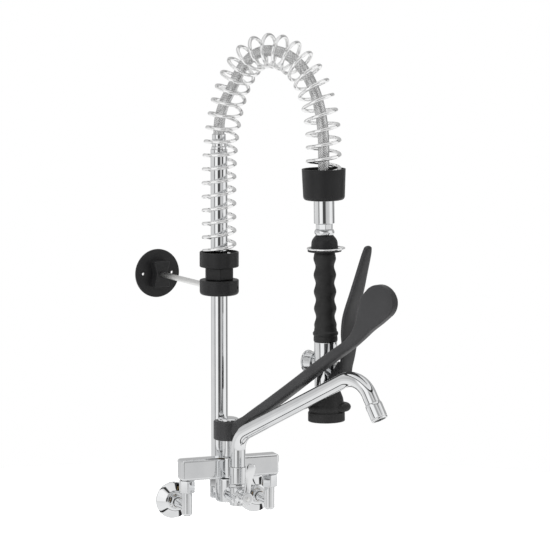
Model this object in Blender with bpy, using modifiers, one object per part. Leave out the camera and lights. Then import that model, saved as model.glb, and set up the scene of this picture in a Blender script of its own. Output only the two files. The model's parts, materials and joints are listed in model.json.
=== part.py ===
"""Wall-mounted pre-rinse faucet with elbow lever, swivel spout, spring arch and hand spray.

Run with: blender --background --python part.py
The origin is on the wall plane, midway between the two inlets. +X is to the right as one faces the wall,
-Y points out of the wall and +Z is up. Driving dimensions are in millimetres.
"""

import math

import bmesh
import bpy
from mathutils import Matrix, Vector

MM = 0.001
GAP = 0.3  # clearance kept between touching pieces
X_AXIS, Y_AXIS, Z_AXIS = Vector((1, 0, 0)), Vector((0, 1, 0)), Vector((0, 0, 1))
FORWARD = -Y_AXIS  # out of the wall
ROUND_SIDES = 24  # sides of a turned piece
SMALL_SIDES = 14  # sides of a small turned piece

# Inlets
INLET_HALF_SPACING = 75
BODY_REACH = 72  # wall to the mixer's centre line
ROSETTE_RADIUS = 32
ROSETTE_DEPTH = 14
UNION_THREAD_BEHIND_WALL = 14
LEG_RADIUS = 9
LEG_TOP = 45
ELBOW_BOTTOM = -14
COLLAR_BOTTOM, COLLAR_TOP = 26.3, 47.7
WALL_NUT_BACK, WALL_NUT_FRONT = 14.3, 27  # distances from the wall

# Mixer bar, cartridge and elbow lever
BAR_HALF_LENGTH = 88
BAR_DEPTH = 28
BAR_BOTTOM, BAR_TOP = 48, 84
BARREL_REACH, BARREL_RADIUS = 76, 14.5  # upright barrel in the middle of the bar
COLUMN_RADIUS = 10
COLUMN_TOP = 118
HUB_RADIUS, HUB_WALL = 25.2, 4.9
HUB_BOTTOM, HUB_TOP = 114, 146
TILT_HEIGHT = 132
LEVER_DIRECTION = 24  # degrees to the right of straight out

# Lower manifold and spout
MANIFOLD_HEIGHT = 22
RISER_REACH = 28.5
SPOUT_REACH = 120
SPOUT_RADIUS = 12.5
SPOUT_BASE = 75.3
SPOUT_DIRECTION = 28
VALVE_HEIGHT = 27
VALVE_SEAT = 131  # wall to the manifold's front face
VALVE_TILT = 8  # degrees that the valve handle leans to the right

# Riser and spring arch
RISER_RADIUS = 14.3
RISER_BOTTOM, RISER_TOP = 20, 606
ARCH_DIRECTION = 31
ARCH_REACH = 223
ARCH_TOP = 777
ARCH_RISE, ARCH_FALL = 240, 163  # height of the curved part on the riser side and on the spray side
ARCH_POWER = 2.2
SPRING_RADIUS = 26.6
SPRING_WIRE = 3.0
SPRING_BOTTOM, SPRING_END = 412.5, 546
SPRING_TURNS = 30.4
HOSE_RADIUS = 9.3
HOSE_START = 632.4
HOSE_SETTLES = 90  # height over which the hose moves from the riser's axis to the spring's

# Wall bracket
CLAMP_BOTTOM = 357
COLLAR_RADIUS = 33.5
COLLAR_HEIGHT = 26
BRACKET_TURN = 8  # degrees that the rod is turned from square to the wall
ROD_HEIGHT = 367
ROD_RADIUS = 5
PLATE_REACH = 237  # riser axis to the back of the wall plate
PLATE_RADIUS = 43

# Hand spray: heights are distances below the rim of the spring cup
CUP_RIM = 586
SPRAY_TILT = 0.95  # degrees off plumb
CUP_DEPTH = 52
PIVOT_OUT, PIVOT_DOWN = 21, 351
BODY_RADIUS = 19.2
PLUNGER_DOWN = 325


def plan(degrees):
    """Unit vector in plan, turned to the right of straight out from the wall."""
    return Vector((math.sin(math.radians(degrees)), -math.cos(math.radians(degrees)), 0))


# --- scene set-up ---------------------------------------------------------------------------------

for old in list(bpy.data.objects):
    bpy.data.objects.remove(old, do_unlink=True)

parts = bpy.data.collections.new("pre_rinse_faucet")
cutters = bpy.data.collections.new("cutters")
bpy.context.scene.collection.children.link(parts)
bpy.context.scene.collection.children.link(cutters)


def make_material(name, color, metallic, roughness):
    material = bpy.data.materials.new(name)
    material.use_nodes = True
    shader = material.node_tree.nodes["Principled BSDF"]
    shader.inputs["Base Color"].default_value = (*color, 1)
    shader.inputs["Metallic"].default_value = metallic
    shader.inputs["Roughness"].default_value = roughness
    material.diffuse_color = (*color, 1)
    return material


FINISHES = {
    "chrome": ((0.80, 0.81, 0.82), 1.0, 0.07),
    "satin": ((0.74, 0.74, 0.73), 1.0, 0.32),
    "spring": ((0.82, 0.82, 0.82), 1.0, 0.14),
    "black": ((0.028, 0.028, 0.030), 0.0, 0.45),
    "rubber": ((0.024, 0.024, 0.025), 0.0, 0.65),
    "brass": ((0.72, 0.55, 0.25), 1.0, 0.35),
    "ceramic": ((0.85, 0.84, 0.80), 0.0, 0.35),
    "hose": ((0.62, 0.62, 0.63), 0.8, 0.40),
}


def finish(obj, kind):
    color, metallic, roughness = FINISHES[kind]
    obj.data.materials.clear()
    obj.data.materials.append(make_material(obj.name, color, metallic, roughness))
    return obj


# --- building blocks ------------------------------------------------------------------------------

def add_object(name, mesh, collection=parts):
    obj = bpy.data.objects.new(name, mesh)
    collection.objects.link(obj)
    return obj


def as_cutter(obj):
    for collection in list(obj.users_collection):
        collection.objects.unlink(obj)
    cutters.objects.link(obj)
    obj.hide_render = True
    obj.display_type = "WIRE"
    return obj


def place(obj, at=(0, 0, 0), axis=Z_AXIS, spin=0.0, parent=None):
    """Puts the object's own +Z along axis, turned about it by spin degrees, at a point in millimetres."""
    turn = Vector(axis).to_track_quat("Z", "Y").to_matrix().to_4x4() if axis != Z_AXIS else Matrix()
    obj.parent = parent
    twist = Matrix.Rotation(math.radians(spin), 4, "Z")
    obj.matrix_local = Matrix.Translation(Vector(at) * MM) @ turn @ twist
    return obj


def smooth(mesh, angle=35):
    mesh.shade_smooth()
    mesh.set_sharp_from_angle(angle=math.radians(angle))


def turned(name, profile, sides=ROUND_SIDES, collection=parts):
    """A closed profile of (radius, height), turned about +Z."""
    mesh = bpy.data.meshes.new(name)
    following = [*profile[1:], profile[0]]
    area = sum(r1 * z2 - r2 * z1 for (r1, z1), (r2, z2) in zip(profile, following))
    if area > 0:  # the outer side has to run from top to bottom for the faces to look outwards
        profile = profile[::-1]
    points = [(radius * MM, 0, height * MM) for radius, height in profile]
    on_axis = profile[0][0] == 0 and profile[-1][0] == 0
    edges = [(i, i + 1) for i in range(len(points) - 1)]
    if not on_axis:
        edges.append((len(points) - 1, 0))
    mesh.from_pydata(points, edges, [])
    obj = add_object(name, mesh, collection)
    screw = obj.modifiers.new("turn", "SCREW")
    screw.axis = "Z"
    screw.steps = sides
    screw.render_steps = sides
    screw.use_merge_vertices = True
    screw.merge_threshold = 0.00001
    screw.use_smooth_shade = True
    return obj


def ring_profile(outer, inner, bottom, top, chamfer=1.0):
    return [
        (outer - chamfer, top),
        (outer, top - chamfer),
        (outer, bottom + chamfer),
        (outer - chamfer, bottom),
        (inner, bottom),
        (inner, top),
    ]


def rod_profile(radius, bottom, top, chamfer=0.8):
    return [
        (0, top),
        (radius - chamfer, top),
        (radius, top - chamfer),
        (radius, bottom + chamfer),
        (radius - chamfer, bottom),
        (0, bottom),
    ]


def torus_profile(major, minor, points=10):
    turns = [2 * math.pi * i / points for i in range(points)]
    return [(major + minor * math.sin(a), minor * math.cos(a)) for a in turns]


def prism(name, sides, across_flats, bottom, top, bevel=1.0, collection=parts):
    """An upright prism, such as a nut's hexagon."""
    mesh = bpy.data.meshes.new(name)
    shape = bmesh.new()
    corner = across_flats / 2 / math.cos(math.pi / sides) * MM
    bmesh.ops.create_cone(
        shape, cap_ends=True, segments=sides, radius1=corner, radius2=corner, depth=(top - bottom) * MM
    )
    bmesh.ops.translate(shape, verts=shape.verts, vec=(0, 0, (top + bottom) / 2 * MM))
    shape.to_mesh(mesh)
    shape.free()
    obj = add_object(name, mesh, collection)
    if bevel:
        rounding = obj.modifiers.new("edges", "BEVEL")
        rounding.width = bevel * MM
        rounding.segments = 1
    return obj


def box(name, low, high, bevel=0.0, segments=2, collection=parts):
    mesh = bpy.data.meshes.new(name)
    shape = bmesh.new()
    size = Vector(high) - Vector(low)
    middle = (Vector(high) + Vector(low)) / 2
    bmesh.ops.create_cube(shape, size=1, matrix=Matrix.LocRotScale(middle * MM, None, size * MM))
    shape.to_mesh(mesh)
    shape.free()
    obj = add_object(name, mesh, collection)
    if bevel:
        rounding = obj.modifiers.new("edges", "BEVEL")
        rounding.width = bevel * MM
        rounding.segments = segments
    return obj


def cylinder(name, radius, bottom, top, sides=SMALL_SIDES, collection=parts):
    return prism(name, sides, 2 * radius * math.cos(math.pi / sides), bottom, top, 0, collection)


def tube(name, points, radius, resolution=2, collection=parts):
    """A solid round bar through points in millimetres, as a mesh with welded caps."""
    curve = bpy.data.curves.new(name, "CURVE")
    curve.dimensions = "3D"
    curve.bevel_depth = radius * MM
    curve.bevel_resolution = resolution
    curve.use_fill_caps = True
    spline = curve.splines.new("POLY")
    spline.points.add(len(points) - 1)
    for point, place_of in zip(spline.points, points):
        point.co = (*(Vector(place_of) * MM), 1)
    return curve_to_mesh(name, curve, collection)


def plate(name, outline, thickness, bevel=0.0, collection=parts):
    """A flat outline of (x, y), centred on z = 0, as thick as stated."""
    curve = bpy.data.curves.new(name, "CURVE")
    curve.dimensions = "2D"
    curve.fill_mode = "BOTH"
    curve.extrude = thickness / 2 * MM
    spline = curve.splines.new("POLY")
    spline.points.add(len(outline) - 1)
    for point, (x, y) in zip(spline.points, outline):
        point.co = (x * MM, y * MM, 0, 1)
    spline.use_cyclic_u = True
    obj = curve_to_mesh(name, curve, collection)
    if bevel:
        rounding = obj.modifiers.new("edges", "BEVEL")
        rounding.width = bevel * MM
        rounding.segments = 2
    return obj


def curve_to_mesh(name, curve, collection):
    guide = add_object("guide", curve, cutters)
    bpy.context.view_layer.update()
    mesh = bpy.data.meshes.new_from_object(guide.evaluated_get(bpy.context.evaluated_depsgraph_get()))
    bpy.data.objects.remove(guide, do_unlink=True)
    shape = bmesh.new()
    shape.from_mesh(mesh)
    bmesh.ops.remove_doubles(shape, verts=shape.verts, dist=0.000002)
    bmesh.ops.recalc_face_normals(shape, faces=shape.faces)
    shape.to_mesh(mesh)
    shape.free()
    mesh.name = name
    smooth(mesh, 50)
    return add_object(name, mesh, collection)


def loft(name, stations, across, points=12, power=2.6, collection=parts):
    """A bar through stations of (centre, up, half height, half width), its width along across."""
    mesh = bpy.data.meshes.new(name)
    shape = bmesh.new()
    rings = []
    for centre, up, half_height, half_width in stations:
        ring = []
        for i in range(points):
            angle = 2 * math.pi * (i + 0.5) / points
            cos, sin = math.cos(angle), math.sin(angle)
            side = math.copysign(abs(cos) ** (2 / power), cos) * half_width
            rise = math.copysign(abs(sin) ** (2 / power), sin) * half_height
            ring.append(shape.verts.new((centre + across * side + up * rise) * MM))
        rings.append(ring)
    for first, second in zip(rings, rings[1:]):
        for i in range(points):
            j = (i + 1) % points
            shape.faces.new((first[i], first[j], second[j], second[i]))
    shape.faces.new(rings[0])
    shape.faces.new(rings[-1])
    bmesh.ops.recalc_face_normals(shape, faces=shape.faces)
    shape.to_mesh(mesh)
    shape.free()
    smooth(mesh, 60)
    return add_object(name, mesh, collection)


def boolean(obj, other, operation):
    as_cutter(other)
    modifier = obj.modifiers.new(operation.lower(), "BOOLEAN")
    modifier.operation = operation
    modifier.object = other
    return obj


def cut(obj, *others):
    for other in others:
        boolean(obj, other, "DIFFERENCE")
    return obj


def join(obj, *others):
    for other in others:
        boolean(obj, other, "UNION")
    return obj


def arc(centre, radius, start, stop, steps):
    """Points (x, y) on an arc, angles in degrees, both ends included."""
    angles = [math.radians(start + (stop - start) * i / steps) for i in range(steps + 1)]
    return [(centre[0] + radius * math.cos(a), centre[1] + radius * math.sin(a)) for a in angles]


# --- inlets ---------------------------------------------------------------------------------------

def make_inlet(side, sign):
    x = sign * INLET_HALF_SPACING
    collar = prism(f"upper_union_nut_{side}", 6, 25, COLLAR_BOTTOM, COLLAR_TOP, 1.2)
    place(collar, (x, -BODY_REACH, 0), spin=18)
    cut(collar, place(cylinder("bore", LEG_RADIUS + GAP, 20, 60), (x, -BODY_REACH, 0)))
    finish(collar, "chrome")

    upright = [
        (0, LEG_TOP),
        (LEG_RADIUS - 0.6, LEG_TOP),
        (LEG_RADIUS, LEG_TOP - 0.6),
        (LEG_RADIUS, ELBOW_BOTTOM + 4.5),
        (LEG_RADIUS - 1.3, ELBOW_BOTTOM + 1.3),
        (LEG_RADIUS - 4.5, ELBOW_BOTTOM),
        (0, ELBOW_BOTTOM),
    ]
    leg = place(turned(f"inlet_leg_{side}", upright), (x, -BODY_REACH, 0))
    level = turned("level", rod_profile(LEG_RADIUS - 0.4, WALL_NUT_FRONT - 4, BODY_REACH, 0.5))
    join(leg, place(level, (x, 0, 0), FORWARD))
    finish(leg, "chrome")

    nut = prism(f"wall_union_nut_{side}", 6, 21.5, WALL_NUT_BACK, WALL_NUT_FRONT, 1.0)
    place(nut, (x, 0, 0), FORWARD, 12)
    bore = cylinder("bore", LEG_RADIUS + GAP, WALL_NUT_BACK - 5, WALL_NUT_FRONT + 5)
    cut(nut, place(bore, (x, 0, 0), FORWARD))
    finish(nut, "chrome")

    union_front = WALL_NUT_FRONT - 4 - GAP
    tail_radius = 10.4
    profile = [
        (LEG_RADIUS - 0.8, union_front),
        (LEG_RADIUS, union_front - 0.8),
        (LEG_RADIUS, -0.5),
        (tail_radius, -1.5),
        (tail_radius, 1 - UNION_THREAD_BEHIND_WALL),
        (tail_radius - 1, -UNION_THREAD_BEHIND_WALL),
        (6, -UNION_THREAD_BEHIND_WALL),
        (6, union_front),
    ]
    finish(place(turned(f"s_union_{side}", profile, SMALL_SIDES), (x, 0, 0), FORWARD), "brass")

    rosette_bore = LEG_RADIUS + 2
    profile = [
        (14.5, ROSETTE_DEPTH),
        (16.5, ROSETTE_DEPTH - 1.5),
        (ROSETTE_RADIUS - 1.5, 3.4),
        (ROSETTE_RADIUS, 2.2),
        (ROSETTE_RADIUS, 0),
        (rosette_bore, 0),
        (rosette_bore, ROSETTE_DEPTH),
    ]
    finish(place(turned(f"rosette_{side}", profile), (x, 0, 0), FORWARD), "chrome")


# --- mixer ----------------------------------------------------------------------------------------

def make_mixer_bar():
    half_depth = BAR_DEPTH / 2
    bar = box(
        "mixer_bar",
        (-BAR_HALF_LENGTH, -BODY_REACH - half_depth, BAR_BOTTOM),
        (BAR_HALF_LENGTH, -BODY_REACH + half_depth, BAR_TOP),
        bevel=4.5,
        segments=3,
    )
    barrel = turned("barrel", rod_profile(BARREL_RADIUS, BAR_BOTTOM + 0.5, BAR_TOP - 0.5, 1.5))
    join(bar, place(barrel, (0, -BARREL_REACH, 0)))
    waterway = BAR_BOTTOM + 16
    for sign in (-1, 1):
        x = sign * INLET_HALF_SPACING
        cut(bar, place(cylinder("inlet", 7, BAR_BOTTOM - 5, waterway), (x, -BODY_REACH, 0)))
    across = cylinder("across", 6, -INLET_HALF_SPACING, INLET_HALF_SPACING)
    cut(bar, place(across, (0, -BODY_REACH, waterway - 2), X_AXIS))
    cut(bar, place(cylinder("outlet", 7.5, BAR_BOTTOM - 5, BAR_TOP + 5), (0, -BODY_REACH, 0)))
    finish(bar, "chrome")


def make_cartridge():
    at = (0, -BODY_REACH, 0)
    column = turned("cartridge_housing", ring_profile(COLUMN_RADIUS, 7, BAR_TOP + GAP, COLUMN_TOP, 0.6))
    finish(place(column, at), "chrome")
    nut = prism("cartridge_nut", 6, 24, 112, 126, 0.8)
    place(nut, at, spin=5)
    cut(nut, place(cylinder("bore", 10.4 + 2 * GAP, 105, 135, 24), at))
    finish(nut, "brass")
    profile = [
        (9.6, 128),
        (10.4, 127.2),
        (10.4, COLUMN_TOP + GAP),
        (0, COLUMN_TOP + GAP),
        (0, 119.5),
        (6.2, 121.5),
        (7.4, 128),
    ]
    finish(place(turned("cartridge", profile, SMALL_SIDES), at), "ceramic")


def make_lever():
    direction = plan(LEVER_DIRECTION)
    across = Z_AXIS.cross(direction)
    at = Vector((0, -BODY_REACH, 0))
    pivot = at + Z_AXIS * TILT_HEIGHT

    turret = turned("cartridge_turret", ring_profile(10.4, 7.2, 128.3, 135.5, 0.6), SMALL_SIDES)
    place(turret, at)
    cut(turret, place(cylinder("pin_bore", 1.8, -15, 15, 8), pivot, across))
    finish(turret, "black")
    pin = turned("tilt_pin", rod_profile(1.45, -10.2, 10.2, 0.3), 8)
    finish(place(pin, pivot, across), "satin")
    stem = turned("lever_stem", rod_profile(4.2, 124, 141.7, 0.6), SMALL_SIDES)
    place(stem, at)
    cut(stem, place(cylinder("pin_bore", 1.8, -8, 8, 8), pivot, across))
    cut(stem, place(cylinder("screw_bore", 2.4, 135.2, 150, 8), at))
    finish(stem, "brass")

    def up(degrees):
        angle = math.radians(degrees)
        return Z_AXIS * math.cos(angle) - direction * math.sin(angle)

    # out and height along the lever's own plane, its slope there, half height and half width
    arm = [
        (20, 132, 24, 13.6, 13.6),
        (34, 142, 30, 12.0, 13.4),
        (48, 152.2, 37, 9.2, 13.0),
        (60, 161.4, 36, 8.0, 12.9),
        (80, 173.2, 32, 9.2, 12.8),
        (100, 185.2, 32, 9.9, 12.8),
        (160, 225, 32.5, 9.8, 12.6),
        (232, 274, 32.5, 9.6, 12.2),
        (282, 306, 34, 9.2, 11.4),
        (304, 325, 42, 11.9, 10.6),
        (320.1, 346.6, 49, 18.6, 9.6),
        (334.8, 368, 51, 28.5, 9.2),
        (352, 384, 51, 31.0, 9.0),
        (363, 394.5, 51, 27.6, 8.8),
        (371, 402.5, 51, 20.2, 8.0),
        (376, 407.5, 51, 10.5, 6.0),
    ]
    stations = [
        (at + direction * out + Z_AXIS * height, up(slope), half_height, half_width)
        for out, height, slope, half_height, half_width in arm
    ]
    blade = loft("blade", stations, across)

    inside = HUB_RADIUS - HUB_WALL
    hub = [
        (HUB_RADIUS - 1.5, HUB_TOP),
        (HUB_RADIUS, HUB_TOP - 1.5),
        (HUB_RADIUS, HUB_BOTTOM + 1.5),
        (HUB_RADIUS - 1.5, HUB_BOTTOM),
        (0, HUB_BOTTOM),
    ]
    lever = place(turned("lever_handle", [(0, HUB_TOP), *hub]), at)
    join(lever, blade)
    cut(lever, place(cylinder("hollow", inside, HUB_BOTTOM - 5, HUB_TOP - 4, 24), at))
    cut(lever, place(cylinder("screw_hole", 2.8, HUB_TOP - 8, HUB_TOP + 5, 12), at))
    finish(lever, "black")

    screw = turned(
        "lever_screw",
        [(0, 150), (4.4, 150), (4.8, 149.4), (4.8, 146.3), (2.1, 146.3), (2.1, 136), (0, 136)],
        12,
    )
    finish(place(screw, at), "satin")
    cap_bottom = HUB_TOP + GAP
    dome = []
    for degrees in range(0, 91, 15):
        angle = math.radians(degrees)
        dome.append((18 * math.sin(angle), cap_bottom + 1.8 + 4.4 * math.cos(angle)))
    cap = turned("lever_cap", [*dome, (18, cap_bottom), (6.2, cap_bottom), (6.2, 150.6), (0, 150.6)])
    finish(place(cap, at), "chrome")


# --- lower manifold, spout and its valve ----------------------------------------------------------

def make_manifold():
    centre = Vector((0, -BODY_REACH, 0))
    rear = Vector((0, -RISER_REACH, 0))
    front = Vector((0, -SPOUT_REACH, 0))
    nut_bottom = 25
    body = turned("diverter_body", rod_profile(22, 7, BAR_BOTTOM - GAP, 1.5))
    place(body, centre)
    along = turned("along", rod_profile(15, -VALVE_SEAT - 5, -RISER_REACH + 2, 1.0))
    join(body, place(along, (0, 0, MANIFOLD_HEIGHT), Y_AXIS))
    join(body, place(turned("rear", rod_profile(17, 4.5, 30, 1.0)), rear))
    join(body, place(turned("front", rod_profile(14.5, 8.5, 40.4, 1.0)), front))
    cut(body, box("front_face", (-30, -VALVE_SEAT - 30, -10), (30, -VALVE_SEAT, 60)))
    cut(body, place(cylinder("nut_room", 20.8, nut_bottom - GAP, 60, 32), rear))
    cut(body, place(cylinder("riser_socket", RISER_RADIUS + GAP, RISER_BOTTOM - GAP, 60, 24), rear))
    cut(body, place(cylinder("riser_bore", 10, 9, 30), rear))
    cut(body, place(cylinder("spout_bore", 8.5, 12, 45), front))
    cut(body, place(cylinder("mixer_bore", 7.5, 12, 60), centre))
    cut(body, place(cylinder("passage", 5.5, RISER_REACH - 4, SPOUT_REACH + 5), (0, 0, 14.5), FORWARD))
    cut(body, place(cylinder("valve_way", 4.6, SPOUT_REACH, SPOUT_REACH + 20), (0, 0, VALVE_HEIGHT), FORWARD))
    finish(body, "chrome")

    nut = prism("riser_nut", 6, 35, nut_bottom, 45, 1.5)
    place(nut, rear, spin=10)
    cut(nut, place(cylinder("bore", RISER_RADIUS + GAP, 10, 50, 24), rear))
    finish(nut, "chrome")


def make_spout():
    centre = Vector((0, -SPOUT_REACH, 0))
    nut = prism("spout_union_nut", 8, 28.5, 40.8, 46.4, 0.8)
    place(nut, centre, spin=6)
    cut(nut, place(cylinder("bore", 11.4, 30, 60, 20), centre))
    finish(nut, "chrome")
    sleeve = turned("spout_sleeve", ring_profile(15.2, 11.4, 46.7, SPOUT_BASE - GAP, 1.0))
    finish(place(sleeve, centre), "chrome")
    spigot = turned("spout_spigot", ring_profile(8.1, 6.2, 40.8, SPOUT_BASE - GAP, 0.4), SMALL_SIDES)
    finish(place(spigot, centre), "brass")
    for number, height in enumerate((52, 66), 1):
        outline = [(r, z + height) for r, z in torus_profile(9.75, 1.3, 6)]
        seal = turned(f"spout_seal_{number}", outline, SMALL_SIDES)
        finish(place(seal, centre), "rubber")

    direction = plan(SPOUT_DIRECTION)

    def at(out, height):
        return centre + direction * out + Z_AXIS * height

    rise = 27.5  # slope of the straight part
    lower_bend, upper_bend = 38, 42
    nose_slope = -60
    knee_height = 104
    knee = arc((lower_bend, knee_height), lower_bend, 180, 90 + rise, 6)
    run_start = knee[-1]
    run = 236
    run_end = (
        run_start[0] + run * math.cos(math.radians(rise)),
        run_start[1] + run * math.sin(math.radians(rise)),
    )
    turn_centre = (
        run_end[0] + upper_bend * math.sin(math.radians(rise)),
        run_end[1] - upper_bend * math.cos(math.radians(rise)),
    )
    crown = arc(turn_centre, upper_bend, 90 + rise, 90 + nose_slope, 9)
    nose = Vector((math.cos(math.radians(nose_slope)), math.sin(math.radians(nose_slope))))
    tip = Vector(crown[-1]) + nose * 16
    flat = [(0, SPOUT_BASE), *knee, *crown, tuple(tip)]
    spout = tube("spout_tube", [at(*p) for p in flat], SPOUT_RADIUS, 3)
    before = (flat[0][0], flat[0][1] - 10)
    beyond = tuple(tip + nose * 10)
    cut(spout, tube("spout_way", [at(*p) for p in (before, *flat[1:-1], beyond)], 9.5, 2))
    finish(spout, "chrome")

    outlet = tip + nose * GAP
    nozzle_axis = direction * nose.x + Z_AXIS * nose.y
    nozzle_profile = [
        (SPOUT_RADIUS + 1.2, 0),
        (10.3, 0),
        (10.3, 29),
        (13.2, 29),
        (14.2, 28),
        (14.2, 5),
    ]
    nozzle = turned("spout_nozzle", nozzle_profile, 24)
    finish(place(nozzle, at(*outlet), nozzle_axis), "chrome")
    aerator = prism("aerator", 16, 20, 16, 27, 0.5)
    place(aerator, at(*outlet), nozzle_axis)
    for number in range(6):
        angle = math.radians(60 * number)
        hole = cylinder("hole", 1.7, 10, 30, 6)
        shift = Matrix.Translation(Vector((5.6 * math.cos(angle), 5.6 * math.sin(angle), 0)) * MM)
        place(hole, at(*outlet), nozzle_axis)
        hole.matrix_local = hole.matrix_local @ shift
        cut(aerator, hole)
    finish(aerator, "black")


def make_spout_valve():
    at = Vector((0, 0, VALVE_HEIGHT))
    front = VALVE_SEAT
    bonnet_profile = [
        (11.5, front + GAP + 19),
        (13.4, front + GAP + 15),
        (13.4, front + GAP + 5),
        (11, front + GAP + 2),
        (11, front + GAP),
        (4.6, front + GAP),
        (4.6, front + GAP + 19),
    ]
    bonnet = turned("valve_bonnet", bonnet_profile, 24)
    finish(place(bonnet, at, FORWARD), "chrome")
    face = front + GAP + 19
    spindle = turned("valve_spindle", rod_profile(4.2, front + GAP + 1, face + 12, 0.5), 12)
    place(spindle, at, FORWARD)
    cut(spindle, place(cylinder("screw_bore", 2.0, face + 4, face + 20, 8), at, FORWARD))
    finish(spindle, "brass")
    hub_start, hub_end = face + GAP, face + 15
    handle = turned("valve_handle", rod_profile(10.8, hub_start, hub_end, 1.8), 20)
    place(handle, at, FORWARD)
    lean = math.radians(VALVE_TILT)
    up = Z_AXIS * math.cos(lean) + X_AXIS * math.sin(lean)
    side = up.cross(FORWARD)
    # height above the hub's axis, half width, half thickness and shift forward
    shank = [
        (2, 6.5, 5.0, 0),
        (14, 5.6, 3.8, 0),
        (32, 6.4, 3.4, 1),
        (46, 8.4, 3.2, 2),
        (54, 8.8, 3.0, 2.5),
        (59, 7.4, 2.4, 3),
        (60.5, 4.5, 1.6, 3),
    ]
    stations = [
        (at + FORWARD * (face + 8 + shift) + up * height, FORWARD, thick, wide)
        for height, wide, thick, shift in shank
    ]
    join(handle, loft("shank", stations, side, 10, 2.2))
    cut(handle, place(cylinder("spindle_bore", 4.5, face - 5, face + 12 + GAP, 12), at, FORWARD))
    cut(handle, place(cylinder("screw_hole", 2.3, face, face + 30, 10), at, FORWARD))
    finish(handle, "chrome")
    head = [
        (0, face + 17.6),
        (3.4, face + 17),
        (4.2, face + 15.3),
        (1.7, face + 15.3),
        (1.7, face + 5),
        (0, face + 5),
    ]
    finish(place(turned("valve_screw", head, 10), at, FORWARD), "satin")


# --- riser, spring and hose -----------------------------------------------------------------------

def arch_height(out):
    """Height of the arch's centre line at a distance out from the riser."""
    half = ARCH_REACH / 2
    side = abs(out / half - 1)
    span = ARCH_RISE if out < half else ARCH_FALL
    return ARCH_TOP - span + span * max(0, 1 - side**ARCH_POWER) ** (1 / ARCH_POWER)


def arch_line(start, end, steps=60):
    """The centre line as (out, height), from a height on the riser to one below the arch's far end."""
    half = ARCH_REACH / 2
    line = [(0.0, float(start))]
    for i in range(2 * steps + 1):
        angle = math.pi * i / (2 * steps)
        side = -math.copysign(abs(math.cos(angle)) ** (2 / ARCH_POWER), math.cos(angle))
        out = half * (1 + side)
        line.append((out, arch_height(out)))
    line.append((float(ARCH_REACH), float(end)))
    return line


class Route:
    """A smooth path by its length, for what winds round it or is swept along it."""

    def __init__(self, line, origin, direction):
        self.points = [origin + direction * out + Z_AXIS * height for out, height in line]
        self.side = direction.cross(Z_AXIS)
        self.marks = [0.0]
        for a, b in zip(self.points, self.points[1:]):
            self.marks.append(self.marks[-1] + (b - a).length)
        self.length = self.marks[-1]

    def at(self, distance):
        distance = min(max(distance, 0), self.length)
        for i in range(len(self.marks) - 1):
            if distance <= self.marks[i + 1]:
                share = (distance - self.marks[i]) / max(self.marks[i + 1] - self.marks[i], 1e-9)
                return self.points[i].lerp(self.points[i + 1], share)
        return self.points[-1]

    def forward(self, distance, reach=6):
        return (self.at(distance + reach) - self.at(distance - reach)).normalized()


def make_riser():
    at = Vector((0, -RISER_REACH, 0))
    profile = ring_profile(RISER_RADIUS, 11.8, RISER_BOTTOM, RISER_TOP, 0.5)
    finish(place(turned("riser_pipe", profile), at), "chrome")
    sleeve = [
        (10.6, HOSE_START - GAP),
        (11.6, HOSE_START - 1.5),
        (11.6, RISER_TOP + 6),
        (12.8, RISER_TOP + 4),
        (12.8, RISER_TOP + GAP),
        (6, RISER_TOP + GAP),
        (6, HOSE_START - GAP),
    ]
    finish(place(turned("riser_hose_sleeve", sleeve, 20), at), "chrome")


def make_hose_and_spring():
    origin = Vector((0, -RISER_REACH, 0))
    direction = plan(ARCH_DIRECTION)
    line = [(0.0, HOSE_START), (0.0, HOSE_START + 2)]
    for out, height in arch_line(HOSE_START, CUP_RIM - CUP_DEPTH)[1:]:
        if out > ARCH_REACH / 2 or height > HOSE_START + 5:
            share = min(1, max(0, (height - HOSE_START) / HOSE_SETTLES)) if out < ARCH_REACH / 2 else 1
            line.append((out * share * share * (3 - 2 * share), height))
    hose_route = Route(line, origin, direction)
    count = 40
    points = [hose_route.at(hose_route.length * i / count) for i in range(count + 1)]
    points.insert(1, points[0] + Z_AXIS * 3)
    finish(tube("spray_hose", points, HOSE_RADIUS, 2), "hose")

    route = Route(arch_line(SPRING_BOTTOM, SPRING_END), origin, direction)
    per_turn = 12
    steps = round(SPRING_TURNS * per_turn)
    coil = []
    for i in range(steps + 1):
        distance = route.length * i / steps
        angle = 2 * math.pi * i / per_turn + math.pi / 2
        outward = route.side.cross(route.forward(distance))
        radial = outward * math.cos(angle) + route.side * math.sin(angle)
        coil.append(route.at(distance) + radial * SPRING_RADIUS)
    finish(tube("balance_spring", coil, SPRING_WIRE, 1), "spring")


# --- wall bracket ---------------------------------------------------------------------------------

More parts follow.
